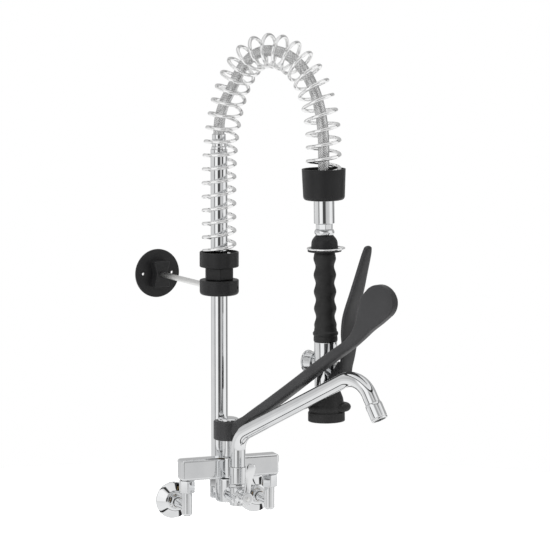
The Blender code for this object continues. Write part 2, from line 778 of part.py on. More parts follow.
def make_bracket():
    at = Vector((0, -RISER_REACH, 0))
    back = -plan(BRACKET_TURN)
    bore = RISER_RADIUS + GAP
    clamp_top = CLAMP_BOTTOM + COLLAR_HEIGHT
    neck_top = clamp_top + 22

    profile = [
        (COLLAR_RADIUS - 1.5, clamp_top),
        (COLLAR_RADIUS, clamp_top - 1.5),
        (COLLAR_RADIUS, CLAMP_BOTTOM + 6),
        (COLLAR_RADIUS - 4, CLAMP_BOTTOM + 1.5),
        (COLLAR_RADIUS - 7, CLAMP_BOTTOM),
        (bore, CLAMP_BOTTOM),
        (bore, clamp_top),
    ]
    collar = place(turned("clamp_collar", profile, 32), at)
    facet = box("facet", (-30, COLLAR_RADIUS - 2, CLAMP_BOTTOM - 5), (30, COLLAR_RADIUS + 10, clamp_top + 5))
    turn = math.degrees(math.atan2(back.y, back.x)) - 90
    cut(collar, place(facet, at, spin=turn))
    rod_root = RISER_RADIUS + 5
    socket = cylinder("rod_socket", ROD_RADIUS + GAP, rod_root - GAP, 60)
    cut(collar, place(socket, at + Z_AXIS * ROD_HEIGHT, back))
    screw_way = plan(52)
    cut(collar, place(cylinder("screw_hole", 3.2, 10, 60, 10), at + Z_AXIS * (CLAMP_BOTTOM + 13), screw_way))
    finish(collar, "black")
    screw = turned("clamp_screw", rod_profile(2.8, RISER_RADIUS + 0.9, COLLAR_RADIUS - 2, 0.4), 10)
    place(screw, at + Z_AXIS * (CLAMP_BOTTOM + 13), screw_way)
    slot = box("slot", (-4, -0.6, COLLAR_RADIUS - 3.5), (4, 0.6, COLLAR_RADIUS + 2))
    cut(screw, place(slot, at + Z_AXIS * (CLAMP_BOTTOM + 13), screw_way))
    finish(screw, "satin")

    neck = prism("clamp_neck", 6, 46, clamp_top + GAP, neck_top - GAP, 1.0)
    place(neck, at, spin=14)
    cut(neck, place(cylinder("bore", bore, clamp_top - 10, neck_top + 10, 24), at))
    finish(neck, "black")

    cup_top = neck_top + COLLAR_HEIGHT
    seat = [
        (COLLAR_RADIUS - 1, cup_top),
        (COLLAR_RADIUS, cup_top - 1),
        (COLLAR_RADIUS, neck_top + 1),
        (COLLAR_RADIUS - 1, neck_top),
        (bore, neck_top),
        (bore, neck_top + 4),
        (30.4, neck_top + 4),
        (30.4, cup_top),
    ]
    finish(place(turned("spring_seat_collar", seat, 32), at), "black")

    boss_depth, disc = 19, 4
    rod_end = PLATE_REACH - disc - boss_depth + 10
    rod = turned("bracket_rod", rod_profile(ROD_RADIUS, rod_root, rod_end, 0.6), SMALL_SIDES)
    finish(place(rod, at + Z_AXIS * ROD_HEIGHT, back), "satin")

    disc_profile = [
        (0, PLATE_REACH),
        (PLATE_RADIUS, PLATE_REACH),
        (PLATE_RADIUS, PLATE_REACH - disc + 1.2),
        (PLATE_RADIUS - 1.2, PLATE_REACH - disc),
        (0, PLATE_REACH - disc),
    ]
    wall_plate = turned("wall_plate", disc_profile, 36)
    centre = at + Z_AXIS * ROD_HEIGHT
    place(wall_plate, centre, back, spin=4)
    sideways = Z_AXIS.cross(back)
    for sign in (-1, 1):
        hole = cylinder("fixing_hole", 2.7, PLATE_REACH - 20, PLATE_REACH + 10, 12)
        cut(wall_plate, place(hole, centre + sideways * (28.5 * sign), back))
    half_tall, half_wide, waist = 23, 15, 4.5
    steps = 8
    right = [
        (half_wide - waist * math.sin(math.pi * i / steps) ** 2, -half_tall + 2 * half_tall * i / steps)
        for i in range(steps + 1)
    ]
    outline = right + [(-x, y) for x, y in reversed(right)]
    boss = plate("boss", outline, boss_depth + 2, 1.5)
    place(boss, centre + back * (PLATE_REACH - disc - boss_depth / 2 + 1), back)
    join(wall_plate, boss)
    cut(wall_plate, place(cylinder("rod_hole", ROD_RADIUS + GAP, 180, rod_end + GAP), centre, back))
    finish(wall_plate, "black")


# --- hand spray -----------------------------------------------------------------------------------

def spray_frame():
    """An empty at the centre of the spring cup's rim: +Z up the spray, +X away from the riser."""
    frame = bpy.data.objects.new("spray_frame", None)
    parts.objects.link(frame)
    at = Vector((0, -RISER_REACH, CUP_RIM)) + plan(ARCH_DIRECTION) * ARCH_REACH
    turn = Matrix.Rotation(math.radians(ARCH_DIRECTION - 90), 4, "Z")
    lean = Matrix.Rotation(math.radians(-SPRAY_TILT), 4, "Y")
    frame.matrix_local = Matrix.Translation(at * MM) @ turn @ lean
    return frame


def on_spray(frame, name, profile, sides=ROUND_SIDES):
    return place(turned(name, profile, sides), parent=frame)


def make_cup_and_fittings(frame):
    wall = 3.2
    cup = [
        (36.0, 0),
        (36.5, -0.8),
        (34.6, -CUP_DEPTH + 7),
        (33.2, -CUP_DEPTH + 2.6),
        (30, -CUP_DEPTH),
        (10.2, -CUP_DEPTH),
        (10.2, -CUP_DEPTH + 4),
        (34.6 - wall, -CUP_DEPTH + 4),
        (36.5 - wall, -2),
        (36.5 - wall, 0),
    ]
    finish(on_spray(frame, "spring_cup", cup, 36), "black")
    sleeve_top, sleeve_end = -CUP_DEPTH - GAP, -91
    sleeve = ring_profile(17.2, 7, sleeve_end, sleeve_top, 0.8)
    finish(on_spray(frame, "hose_end_sleeve", sleeve), "chrome")
    fitting = prism("hose_fitting", 8, 26.5, -100.7, sleeve_end - GAP, 0.5)
    place(fitting, parent=frame)
    cut(fitting, place(cylinder("bore", 6.5, -110, -80, 12), parent=frame))
    finish(fitting, "chrome")
    swivel = [
        (14.5, -101),
        (16.6, -102.5),
        (17.3, -106),
        (16.6, -109.2),
        (15, -110.2),
        (6.5, -110.2),
        (6.5, -101),
    ]
    finish(on_spray(frame, "spray_swivel_nut", swivel), "chrome")


def make_grip(frame):
    shoulder = [
        (14.5, -110.5),
        (18.6, -115),
        (21.8, -121),
        (22.6, -128),
        (22.6, -134.2),
        (27.4, -134.2),
        (28.3, -135),
        (28.3, -137),
        (27.4, -138),
        (11, -138),
        (11, -118),
        (6.8, -114),
        (6.8, -110.5),
    ]
    finish(on_spray(frame, "spray_shoulder", shoulder), "black")
    top, bottom = -138.3, -288
    ribs = [
        (17.2 + 1.6 * math.cos(2 * math.pi * (height - 149) / 28), -height) for height in range(149, 265, 7)
    ]
    outline = [
        (16, top),
        *ribs,
        (18.7, -269),
        (19.2, -271.5),
        (21.2, -273),
        (21.2, -276.5),
        (19.6, -278),
        (20.2, -284),
        (19.8, bottom),
        (11, bottom),
        (11, top),
    ]
    finish(on_spray(frame, "spray_grip", outline, 24), "rubber")
    finish(on_spray(frame, "handle_tube", ring_profile(10.7, 8, -288, -119.2, 0.5), 20), "brass")
    ring = torus_profile(30.5, 1.5, 6)
    hold = place(turned("hold_ring", ring, 32), (3.0, 0, -132.4), parent=frame)
    finish(hold, "spring")


def make_spray_valve(frame):
    top, bottom = -288.3, -366
    body = on_spray(frame, "valve_body", rod_profile(BODY_RADIUS, bottom, top, 1.0))
    back, front = -X_AXIS, X_AXIS
    chamber_at = (0, 0, -PLUNGER_DOWN)
    pivot = (PIVOT_OUT, 0, -PIVOT_DOWN)
    boss = turned("boss", rod_profile(13.6, 0, 25, 0.6))
    lug = box("lug", (8, -8, -PIVOT_DOWN - 7), (PIVOT_OUT + 6.5, 8, -PIVOT_DOWN + 7), 1.5)
    join(body, place(boss, chamber_at, back, parent=frame), place(lug, parent=frame))
    for sign in (-1, 1):
        near, far = sorted((8.1 * sign, 30 * sign))
        flat = box("fork_flat", (10, near, -PIVOT_DOWN - 30), (40, far, -PIVOT_DOWN + 22))
        cut(body, place(flat, parent=frame))
    cut(body, place(cylinder("chamber", 10, 8, 40, 20), chamber_at, back, parent=frame))
    cut(body, place(cylinder("stem_way", 3.4, -12, 40, 12), chamber_at, front, parent=frame))
    cut(body, place(cylinder("inlet_way", 7.5, -PLUNGER_DOWN - 2, -280, 12), (-6, 0, 0), parent=frame))
    cut(body, place(cylinder("outlet_way", 7.5, -375, -PLUNGER_DOWN - 6, 12), (-6, 0, 0), parent=frame))
    cut(body, place(cylinder("pin_way", 2.6, -20, 20, 10), pivot, Y_AXIS, parent=frame))
    finish(body, "chrome")

    cap = [
        (16.2, 40.2),
        (17.2, 39.2),
        (19.2, 38.8),
        (19.2, 36.2),
        (17.2, 35.4),
        (17.2, 20.6),
        (13.9, 20.6),
        (13.9, 27),
        (11, 28),
        (11, 37),
        (0, 37),
    ]
    finish(place(turned("side_cap", [(0, 40.2), *cap], 24), chamber_at, back, parent=frame), "chrome")
    plunger = [
        (0, 17),
        (3.2, 17),
        (3.2, 15.6),
        (8.6, 15.6),
        (8.6, 9.2),
        (3.0, 9.2),
        (3.0, -30.8),
        (2.2, -31.4),
        (0, -31.4),
    ]
    finish(place(turned("valve_plunger", plunger, 14), chamber_at, back, parent=frame), "satin")
    turns, per_turn = 4, 10
    coil = []
    for i in range(turns * per_turn + 1):
        angle = 2 * math.pi * i / per_turn
        along = 17.6 + (36.0 - 17.6) * i / (turns * per_turn)
        coil.append(Vector((7 * math.cos(angle), 7 * math.sin(angle), along)))
    spring = place(tube("plunger_spring", coil, 0.7, 0), chamber_at, back, parent=frame)
    finish(spring, "spring")


def make_trigger(frame):
    across = Y_AXIS
    # out from the spray's axis, distance down, slope from plumb, half thickness and half width
    shape = [
        (89.8, 125, 17, 2.2, 5.2),
        (88.6, 129, 17, 4.2, 9.0),
        (83.0, 147, 17.5, 4.6, 11.6),
        (75.0, 172, 17.5, 4.8, 14.0),
        (66.0, 200, 17.5, 5.0, 16.6),
        (52.0, 240, 14, 5.2, 18.4),
        (48.0, 268, 2, 5.2, 18.8),
        (48.8, 290, -4, 5.4, 18.4),
        (45.5, 312, -10, 5.6, 17.0),
        (41.5, 330, -8, 5.6, 15.2),
        (40.5, 342, -2, 5.4, 14.2),
    ]
    stations = []
    for out, down, slope, thick, wide in shape:
        angle = math.radians(slope)
        outward = X_AXIS * math.cos(angle) + Z_AXIS * -math.sin(angle)
        stations.append((Vector((out, 0, -down)), outward, thick, wide))
    blade = place(loft("trigger", stations, across), parent=frame)
    for sign in (-1, 1):
        eye = arc((PIVOT_OUT, -PIVOT_DOWN), 8.5, 165, 330, 8)
        cheek = [(40, -PIVOT_DOWN + 30), (34, -PIVOT_DOWN + 33), *eye]
        side = plate("cheek", cheek, 3.4, 0)
        place(side, parent=frame)
        upright = Matrix.Rotation(math.radians(90), 4, "X")
        side.matrix_local = Matrix.Translation(Vector((0, sign * 10.1, 0)) * MM) @ upright
        join(blade, side)
    pivot = (PIVOT_OUT, 0, -PIVOT_DOWN)
    cut(blade, place(cylinder("pin_way", 2.6, -20, 20, 10), pivot, Y_AXIS, parent=frame))
    finish(blade, "black")
    pin = [(0, 13.4), (3.6, 13.4), (4.2, 12.7), (4.2, 12.15), (2.3, 12.15), (2.3, -13), (0, -13)]
    finish(place(turned("trigger_pin", pin, 12), pivot, Y_AXIS, parent=frame), "chrome")


def make_bumper(frame):
    profile = [
        (19.4, -366.3),
        (21.6, -368),
        (25.6, -376),
        (28.2, -384),
        (29.3, -391),
        (29.3, -393),
        (30.8, -395),
        (31.2, -398.5),
        (30.8, -402),
        (29.2, -404),
        (29.2, -406),
        (30.7, -407),
        (30.9, -421),
        (30, -422.3),
        (24, -422.3),
        (24, -411.5),
        (8, -411.5),
        (8, -366.3),
    ]
    bumper = on_spray(frame, "rubber_bumper", profile, 32)
    lug_turn = 36
    radius = 6.5
    out = Vector((math.cos(math.radians(lug_turn)), math.sin(math.radians(lug_turn)), 0))
    aside = Z_AXIS.cross(out)
    centre = -399
    steps = 12
    loop = []
    for i in range(steps + 1):
        angle = math.radians(-100 + 200 * i / steps)
        loop.append(out * (22 + 12.5 * math.cos(angle)) + aside * (17 * math.sin(angle)) + Z_AXIS * centre)
    join(bumper, place(tube("loop", loop, radius, 2), parent=frame))
    cut(bumper, place(cylinder("water_way", 7.9, -430, -360, 12), parent=frame))
    finish(bumper, "rubber")
    outline = [(0, -411.8), (23.6, -411.8), (23.6, -415), (22.6, -416), (0, -416)]
    face = on_spray(frame, "spray_face", outline, 24)
    for number in range(8):
        angle = math.radians(45 * number + 7)
        place_of = (14 * math.cos(angle), 14 * math.sin(angle), 0)
        cut(face, place(cylinder("jet", 1.6, -425, -405, 8), place_of, spin=3, parent=frame))
    finish(face, "chrome")


for side, sign in (("left", -1), ("right", 1)):
    make_inlet(side, sign)
make_mixer_bar()
make_cartridge()
make_lever()
make_manifold()
make_spout()
make_spout_valve()
make_riser()
make_hose_and_spring()
make_bracket()
spray = spray_frame()
make_cup_and_fittings(spray)
make_grip(spray)
make_spray_valve(spray)
make_trigger(spray)
make_bumper(spray)
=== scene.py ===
"""Looks of the pre-rinse faucet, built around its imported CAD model.

The camera and studio come first, in metres, then the materials, then one finely made piece for every CAD
node that shows. The pieces are written in millimetres, in the CAD's own frame, and become metres as their
meshes are made.
"""

import json
import math

import bmesh
import bpy
from mathutils import Matrix, Vector


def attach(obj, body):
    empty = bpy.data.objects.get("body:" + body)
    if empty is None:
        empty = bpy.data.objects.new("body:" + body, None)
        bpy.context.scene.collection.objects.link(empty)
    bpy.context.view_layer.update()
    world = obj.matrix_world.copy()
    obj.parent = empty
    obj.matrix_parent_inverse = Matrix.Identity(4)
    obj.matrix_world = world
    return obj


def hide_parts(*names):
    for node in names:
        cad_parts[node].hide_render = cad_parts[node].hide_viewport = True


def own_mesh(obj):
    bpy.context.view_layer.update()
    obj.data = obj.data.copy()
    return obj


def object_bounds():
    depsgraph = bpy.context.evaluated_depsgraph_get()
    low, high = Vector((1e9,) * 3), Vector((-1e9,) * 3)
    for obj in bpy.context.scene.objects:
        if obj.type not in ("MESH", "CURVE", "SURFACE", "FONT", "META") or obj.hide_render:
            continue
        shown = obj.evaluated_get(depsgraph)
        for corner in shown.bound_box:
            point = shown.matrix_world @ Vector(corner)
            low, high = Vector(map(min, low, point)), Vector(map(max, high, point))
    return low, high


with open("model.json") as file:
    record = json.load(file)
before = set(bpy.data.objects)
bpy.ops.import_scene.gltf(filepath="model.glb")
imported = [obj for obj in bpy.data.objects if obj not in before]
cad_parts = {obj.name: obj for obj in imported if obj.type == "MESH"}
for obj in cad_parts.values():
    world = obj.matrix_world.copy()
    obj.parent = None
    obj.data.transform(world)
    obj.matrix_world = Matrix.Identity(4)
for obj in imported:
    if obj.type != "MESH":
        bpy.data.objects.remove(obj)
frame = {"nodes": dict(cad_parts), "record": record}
CAD_BOX = [list(corner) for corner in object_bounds()]

MM = 0.001
X_AXIS, Y_AXIS, Z_AXIS = Vector((1, 0, 0)), Vector((0, 1, 0)), Vector((0, 0, 1))
FORWARD = -Y_AXIS  # out of the wall
SIDES = 96  # sides of a round piece
SMALL_SIDES = 48
SHARP_ANGLE = math.radians(38)

GAP = 0.3  # between neighbouring pieces

# Mixer, riser and spout
INLET_SPACING_HALF = 75
BODY_REACH, RISER_REACH, SPOUT_REACH = 72, 28.5, 120  # distances from the wall
LEG_RADIUS, LEG_TOP, ELBOW_BOTTOM = 9, 45, -14
COLLAR_NUT_BOTTOM, COLLAR_NUT_TOP = 26.3, 47.7
ROSETTE_RADIUS, ROSETTE_DEPTH, ROSETTE_BORE, WALL_NUT_FRONT = 32, 14, 11, 27
BAR_HALF_LENGTH, BAR_HALF_DEPTH, BAR_BOTTOM, BAR_TOP = 88, 14, 48, 84
BARREL_REACH, BARREL_RADIUS = 76, 14.5
HUB_RADIUS, HUB_WALL, HUB_BOTTOM, HUB_TOP = 25.2, 4.9, 114, 146
LEVER_DIRECTION, SPOUT_DIRECTION, ARCH_DIRECTION = 24, 28, 31  # degrees to the right of straight out
MANIFOLD_HEIGHT, VALVE_HEIGHT, VALVE_SEAT, SPINDLE_BORE = 22, 27, 131, 4.6
SPOUT_RADIUS = 12.5
RISER_RADIUS = 14.3

# Spring arch
ARCH_REACH, ARCH_TOP = 223, 777
ARCH_RISE, ARCH_FALL, ARCH_POWER = 240, 163, 2.2
SPRING_RADIUS, SPRING_WIRE, SPRING_TURNS = 26.6, 3.0, 30.4
SPRING_BOTTOM, SPRING_END = 412.5, 546
HOSE_RADIUS, HOSE_START, HOSE_SETTLES = 9.3, 632.4, 90

# Wall bracket and hand spray
CLAMP_BOTTOM, COLLAR_RADIUS, COLLAR_HEIGHT, NECK_HEIGHT = 357, 33.5, 26, 22
ROD_HEIGHT, ROD_RADIUS, PLATE_REACH, PLATE_RADIUS = 367, 5, 237, 43
BRACKET_TURN = 8
CUP_RIM, CUP_DEPTH, SPRAY_TILT = 586, 52, 0.95
PIVOT_OUT, PIVOT_DOWN, PIN_BORE, PLUNGER_DOWN = 21, 351, 2.6, 325
# how far below the cup's rim the spray's pieces end
SLEEVE_END, FITTING_END, SWIVEL_END, SHOULDER_END = 91, 100.7, 110.2, 138
GRIP_END, BODY_END, BUMPER_END = 288, 366, 422.3


def plan(degrees):
    """Unit vector in plan, turned to the right of straight out from the wall."""
    return Vector((math.sin(math.radians(degrees)), -math.cos(math.radians(degrees)), 0))


BODY_AT = Vector((0, -BODY_REACH, 0))
RISER_AT = Vector((0, -RISER_REACH, 0))
SPOUT_AT = Vector((0, -SPOUT_REACH, 0))
ARCH_WAY = plan(ARCH_DIRECTION)
SPRAY = (
    Matrix.Translation(RISER_AT + ARCH_WAY * ARCH_REACH + Z_AXIS * CUP_RIM)
    @ Matrix.Rotation(math.radians(ARCH_DIRECTION - 90), 4, "Z")
    @ Matrix.Rotation(math.radians(-SPRAY_TILT), 4, "Y")
)


# --- camera, light and floor ----------------------------------------------------------------------

VIEW_RIGHT = Vector((0.9336, -0.3584, 0.0))
VIEW_UP = Vector((0.0468, 0.1219, 0.9914))
VIEW_FORWARD = Vector((0.3553, 0.9256, -0.1305))
CAMERA_AT = Vector((-1.7313, -4.8041, 1.0592))
LENS, SENSOR_WIDTH = 196.36, 36  # millimetres, as Blender takes them
AMBIENT = 0.14
LIGHTS_AIM = Vector((0, -0.15, 0.35))
FLOOR_RADIUS, FLOOR_DROP = 1.7, 0.22


def make_camera():
    data = bpy.data.cameras.new("camera")
    data.lens = LENS
    data.sensor_width = SENSOR_WIDTH
    data.clip_end = 50
    camera = bpy.data.objects.new("camera", data)
    bpy.context.scene.collection.objects.link(camera)
    turn = Matrix((VIEW_RIGHT, VIEW_UP, -VIEW_FORWARD)).transposed().to_4x4()
    camera.matrix_world = Matrix.Translation(CAMERA_AT) @ turn
    bpy.context.scene.camera = camera


def link(tree, start, end):
    tree.links.new(start, end)


def add_node(tree, kind, **settings):
    node = tree.nodes.new(kind)
    for name, value in settings.items():
        setattr(node, name, value)
    return node


def maths(tree, operation, first, second=None):
    """A Math node whose inputs are sockets or numbers; returns its output."""
    node = add_node(tree, "ShaderNodeMath", operation=operation)
    for socket, value in zip(node.inputs, (first, second)):
        if isinstance(value, (int, float)):
            socket.default_value = value
        elif value is not None:
            link(tree, value, socket)
    return node.outputs[0]


def ramp(tree, source, stops):
    """A Color Ramp of grey or coloured stops (position, value)."""
    node = add_node(tree, "ShaderNodeValToRGB")
    elements = node.color_ramp.elements
    while len(elements) < len(stops):
        elements.new(0.5)
    for element, (position, value) in zip(elements, stops):
        element.position = position
        element.color = (value, value, value, 1) if isinstance(value, (int, float)) else (*value, 1)
    link(tree, source, node.inputs["Fac"])
    return node.outputs["Color"]


def blended(tree, amount, first, second):
    node = add_node(tree, "ShaderNodeMix", data_type="RGBA")
    link(tree, amount, node.inputs[0])
    link(tree, first, node.inputs[6])
    link(tree, second, node.inputs[7])
    return node.outputs[2]


def background(tree, strength):
    node = add_node(tree, "ShaderNodeBackground")
    node.inputs["Color"].default_value = (1, 1, 1, 1)
    node.inputs["Strength"].default_value = strength
    return node


def chosen(tree, choice, otherwise, picked):
    """Picks one of two shaders by kind of ray."""
    node = add_node(tree, "ShaderNodeMixShader")
    link(tree, choice, node.inputs["Fac"])
    link(tree, otherwise.outputs[0], node.inputs[1])
    link(tree, picked.outputs[0], node.inputs[2])
    return node


def soft_box(name, at, size, power):
    data = bpy.data.lights.new(name, "AREA")
    data.shape = "RECTANGLE"
    data.size, data.size_y = size
    data.energy = power
    lamp = bpy.data.objects.new(name, data)
    bpy.context.scene.collection.objects.link(lamp)
    aim = (LIGHTS_AIM - Vector(at)).to_track_quat("-Z", "Y").to_matrix().to_4x4()
    lamp.matrix_world = Matrix.Translation(at) @ aim
    lamp.visible_camera = False
    lamp.visible_glossy = False


def make_studio():
    """A white sweep as seen, soft boxes with dark flags between them as reflected, and a dim even fill."""
    world = bpy.data.worlds.new("studio")
    bpy.context.scene.world = world
    world.use_nodes = True
    tree = world.node_tree
    tree.nodes.clear()
    out = add_node(tree, "ShaderNodeOutputWorld")
    path = add_node(tree, "ShaderNodeLightPath")
    seen, reflected, ambient = background(tree, 1.0), background(tree, 1.0), background(tree, AMBIENT)
    bounced = chosen(tree, path.outputs["Is Glossy Ray"], ambient, reflected)
    either = chosen(tree, path.outputs["Is Camera Ray"], bounced, seen)
    link(tree, either.outputs[0], out.inputs["Surface"])

    direction = add_node(tree, "ShaderNodeTexCoord")
    split = add_node(tree, "ShaderNodeSeparateXYZ")
    link(tree, direction.outputs["Generated"], split.inputs[0])
    front = math.atan2(-VIEW_FORWARD.y, -VIEW_FORWARD.x)
    azimuth = maths(tree, "ARCTAN2", split.outputs["Y"], split.outputs["X"])
    around = maths(tree, "SUBTRACT", azimuth, front)
    share = maths(tree, "FRACT", maths(tree, "ADD", maths(tree, "DIVIDE", around, 2 * math.pi), 1.5))
    # each stop is (degrees to the right of the front, brightness)
    low_bands = [
        (-180, 0.45), (-150, 0.55), (-118, 0.80), (-67, 0.72), (-64, 0.04), (-57, 0.04), (-54, 1.06),
        (-20, 1.02), (-14, 0.08), (14, 0.08), (19, 0.60), (58, 0.72), (66, 1.04), (104, 0.96),
        (112, 0.04), (122, 0.05), (131, 0.54), (180, 0.45),
    ]
    high_bands = [
        (-180, 0.50), (-120, 0.66), (-70, 0.55), (-60, 1.12), (-18, 1.06), (-8, 0.45), (44, 0.42),
        (56, 1.04), (100, 0.98), (112, 0.42), (180, 0.50),
    ]
    low_light = ramp(tree, share, [(0.5 + degrees / 360, level) for degrees, level in low_bands])
    high_light = ramp(tree, share, [(0.5 + degrees / 360, level) for degrees, level in high_bands])
    # from 0 straight down to 1 straight up
    height = maths(tree, "MULTIPLY", maths(tree, "ADD", split.outputs["Z"], 1.0), 0.5)
    walls = blended(tree, ramp(tree, height, [(0.54, 0.0), (0.58, 1.0)]), low_light, high_light)
    # above the walls a dark line and an even top light, below them a bright floor crossed by another line
    even_levels = [
        (0.0, 0.85), (0.068, 0.90), (0.075, 0.03), (0.11, 0.03), (0.12, 0.95), (0.36, 0.90),
        (0.40, 0.70), (0.81, 0.80), (0.82, 0.03), (0.86, 0.03), (0.87, 0.95), (1.0, 0.78),
    ]
    even = ramp(tree, height, even_levels)
    on_walls = ramp(tree, height, [(0.385, 0.0), (0.415, 1.0), (0.77, 1.0), (0.80, 0.0)])
    link(tree, blended(tree, on_walls, even, walls), reflected.inputs["Color"])

    soft_box("key_light", (-2.6, -1.6, 1.5), (1.0, 1.9), 120)
    soft_box("fill_light", (2.6, -1.8, 1.0), (0.7, 1.8), 9)
    soft_box("top_light", (0.2, -0.4, 3.0), (1.8, 1.8), 95)
    bpy.context.scene.view_settings.view_transform = "Standard"


def make_floor():
    mesh = bpy.data.meshes.new("floor")
    shape = bmesh.new()
    bmesh.ops.create_circle(shape, cap_ends=True, segments=96, radius=FLOOR_RADIUS)
    bmesh.ops.translate(shape, verts=shape.verts, vec=(0, -0.1, CAD_BOX[0][2] - FLOOR_DROP))
    shape.to_mesh(mesh)
    shape.free()
    floor = add_object("floor", mesh)
    material, tree, shader = new_material("floor_paper")
    paper = ramp(tree, noise(tree, 6.0), [(0.3, 0.90), (0.7, 0.93)])
    link(tree, paper, shader.inputs["Base Color"])
    link(tree, paper, shader.inputs["Emission Color"])
    shader.inputs["Emission Strength"].default_value = 0.8
    shader.inputs["Roughness"].default_value = 0.9
    mesh.materials.append(material)
    floor.visible_glossy = False


# --- materials ------------------------------------------------------------------------------------

def new_material(name):
    material = bpy.data.materials.new(name)
    material.use_nodes = True
    tree = material.node_tree
    return material, tree, tree.nodes["Principled BSDF"]


def noise(tree, scale, stretch=None, detail=4.0):
    """Noise over the object's own coordinates in metres; stretch multiplies each axis."""
    source = add_node(tree, "ShaderNodeTexCoord").outputs["Object"]
    if stretch:
        mapping = add_node(tree, "ShaderNodeMapping")
        mapping.inputs["Scale"].default_value = stretch
        link(tree, source, mapping.inputs["Vector"])
        source = mapping.outputs["Vector"]
    node = add_node(tree, "ShaderNodeTexNoise")
    node.inputs["Scale"].default_value = scale
    node.inputs["Detail"].default_value = detail
    link(tree, source, node.inputs["Vector"])
    return node.outputs["Fac"]


def add_bump(tree, shader, height, strength, distance):
    bump = add_node(tree, "ShaderNodeBump")
    bump.inputs["Strength"].default_value = strength
    bump.inputs["Distance"].default_value = distance
    link(tree, height, bump.inputs["Height"])
    link(tree, bump.outputs["Normal"], shader.inputs["Normal"])


def metal(name, shade, rough, scale=30, stretch=None, bump=0.02, grain=160):
    """Metal whose colour and polish drift a little over the surface; rough is (polished, dull)."""
    material, tree, shader = new_material(name)
    dark, light = SHADES[shade]
    shader.inputs["Metallic"].default_value = 1.0
    drift = noise(tree, scale, stretch)
    link(tree, ramp(tree, drift, [(0.3, dark), (0.7, light)]), shader.inputs["Base Color"])
    wipe = noise(tree, scale * 2.7, stretch, 6.0)
    link(tree, ramp(tree, wipe, [(0.3, rough[0]), (0.75, rough[1])]), shader.inputs["Roughness"])
    add_bump(tree, shader, noise(tree, grain, stretch, 2.0), bump, 0.0005)
    return material


def moulded(name, shade, rough, grain=1500, bump=0.14):
    """Moulded plastic or rubber: a fine grain, with broad patches handled to a slightly different gloss."""
    material, tree, shader = new_material(name)
    dark, light = SHADES[shade]
    drift = noise(tree, 18)
    link(tree, ramp(tree, drift, [(0.3, dark), (0.72, light)]), shader.inputs["Base Color"])
    patches = noise(tree, 45, None, 6.0)
    link(tree, ramp(tree, patches, [(0.3, rough[0]), (0.75, rough[1])]), shader.inputs["Roughness"])
    shader.inputs["Specular IOR Level"].default_value = 0.3
    add_bump(tree, shader, noise(tree, grain, None, 3.0), bump, 0.0004)
    return material


def braided_steel(name):
    """Stainless wire braid: two families of strands crossing over and under, by the piece's UV map, with
    shade painted into its colour where they dip.
    """
    material, tree, shader = new_material(name)
    shader.inputs["Metallic"].default_value = 1.0
    uv = add_node(tree, "ShaderNodeUVMap", uv_map="braid")
    split = add_node(tree, "ShaderNodeSeparateXYZ")
    link(tree, uv.outputs["UV"], split.inputs[0])
    around, along = split.outputs["X"], split.outputs["Y"]
    one = maths(tree, "ADD", around, along)
    other = maths(tree, "SUBTRACT", around, along)
    strands = []
    for winding in (one, other):
        wave = maths(tree, "SINE", maths(tree, "MULTIPLY", winding, math.pi))
        strands.append(maths(tree, "ABSOLUTE", wave))
    parity = maths(tree, "ADD", maths(tree, "FLOOR", one), maths(tree, "FLOOR", other))
    over = maths(tree, "MODULO", maths(tree, "ABSOLUTE", parity), 2.0)
    under = maths(tree, "SUBTRACT", 1.0, over)
    first = maths(tree, "MULTIPLY", strands[0], over)
    second = maths(tree, "MULTIPLY", strands[1], under)
    lifted = maths(tree, "ADD", first, second)
    # painted shade: the colour darkens where a strand dips between others or passes under them, and is
    # lightest on its crest
    link(tree, ramp(tree, lifted, [(0.05, 0.22), (0.40, 0.55), (1.0, 0.85)]), shader.inputs["Base Color"])
    link(tree, ramp(tree, noise(tree, 220), [(0.3, 0.20), (0.7, 0.32)]), shader.inputs["Roughness"])
    add_bump(tree, shader, lifted, 0.45, 0.0005)
    return material


# the darkest and the lightest colour of each finish
SHADES = {
    "chrome": ((0.77, 0.78, 0.79), (0.85, 0.855, 0.86)),
    "spring": ((0.92, 0.92, 0.92), (0.98, 0.98, 0.98)),
    "satin": ((0.80, 0.80, 0.79), (0.93, 0.93, 0.92)),
    "brass": ((0.66, 0.47, 0.20), (0.78, 0.60, 0.30)),
    "black": ((0.007, 0.007, 0.0073), (0.011, 0.011, 0.0115)),
    # painted sheen: the black nylon made lighter for the lever and the trigger, standing in for the sheen
    # they catch
    "painted_sheen_black": ((0.021, 0.021, 0.022), (0.029, 0.029, 0.030)),
    "rubber": ((0.010, 0.010, 0.010), (0.015, 0.015, 0.015)),
    "ceramic": ((0.76, 0.75, 0.71), (0.84, 0.83, 0.79)),
}
MATERIALS = {
    "chrome": metal("polished_chrome", "chrome", (0.035, 0.085), bump=0.010),
    "soft_chrome": metal("soft_chrome", "chrome", (0.14, 0.22), bump=0.010),
    "spring": metal("bright_spring_wire", "spring", (0.07, 0.13), scale=60, bump=0.05),
    "satin": metal("satin_steel", "satin", (0.24, 0.36), scale=9, stretch=(90, 1.5, 90), bump=0.2, grain=14),
    "brass": metal("bare_brass", "brass", (0.22, 0.38)),
    "plastic": moulded("black_nylon", "black", (0.34, 0.44)),
    # the lever and the trigger take the lighter copy of black nylon, with its painted sheen
    "sheen_painted_lever_plastic": moulded("painted_sheen_black_nylon", "painted_sheen_black", (0.34, 0.44)),
    "rubber": moulded("black_rubber", "rubber", (0.44, 0.56), grain=1100),
    "ceramic": moulded("white_cartridge", "ceramic", (0.30, 0.42), grain=900, bump=0.05),
    "hose": braided_steel("braided_steel"),
}
KEPT_FINISHES = {
    "brass": "s_union_left s_union_right cartridge_nut lever_stem spout_spigot valve_spindle handle_tube",
    "ceramic": "cartridge",
    "satin": "tilt_pin lever_screw valve_screw clamp_screw valve_plunger",
    "rubber": "spout_seal_1 spout_seal_2",
    "plastic": "cartridge_turret aerator",
}


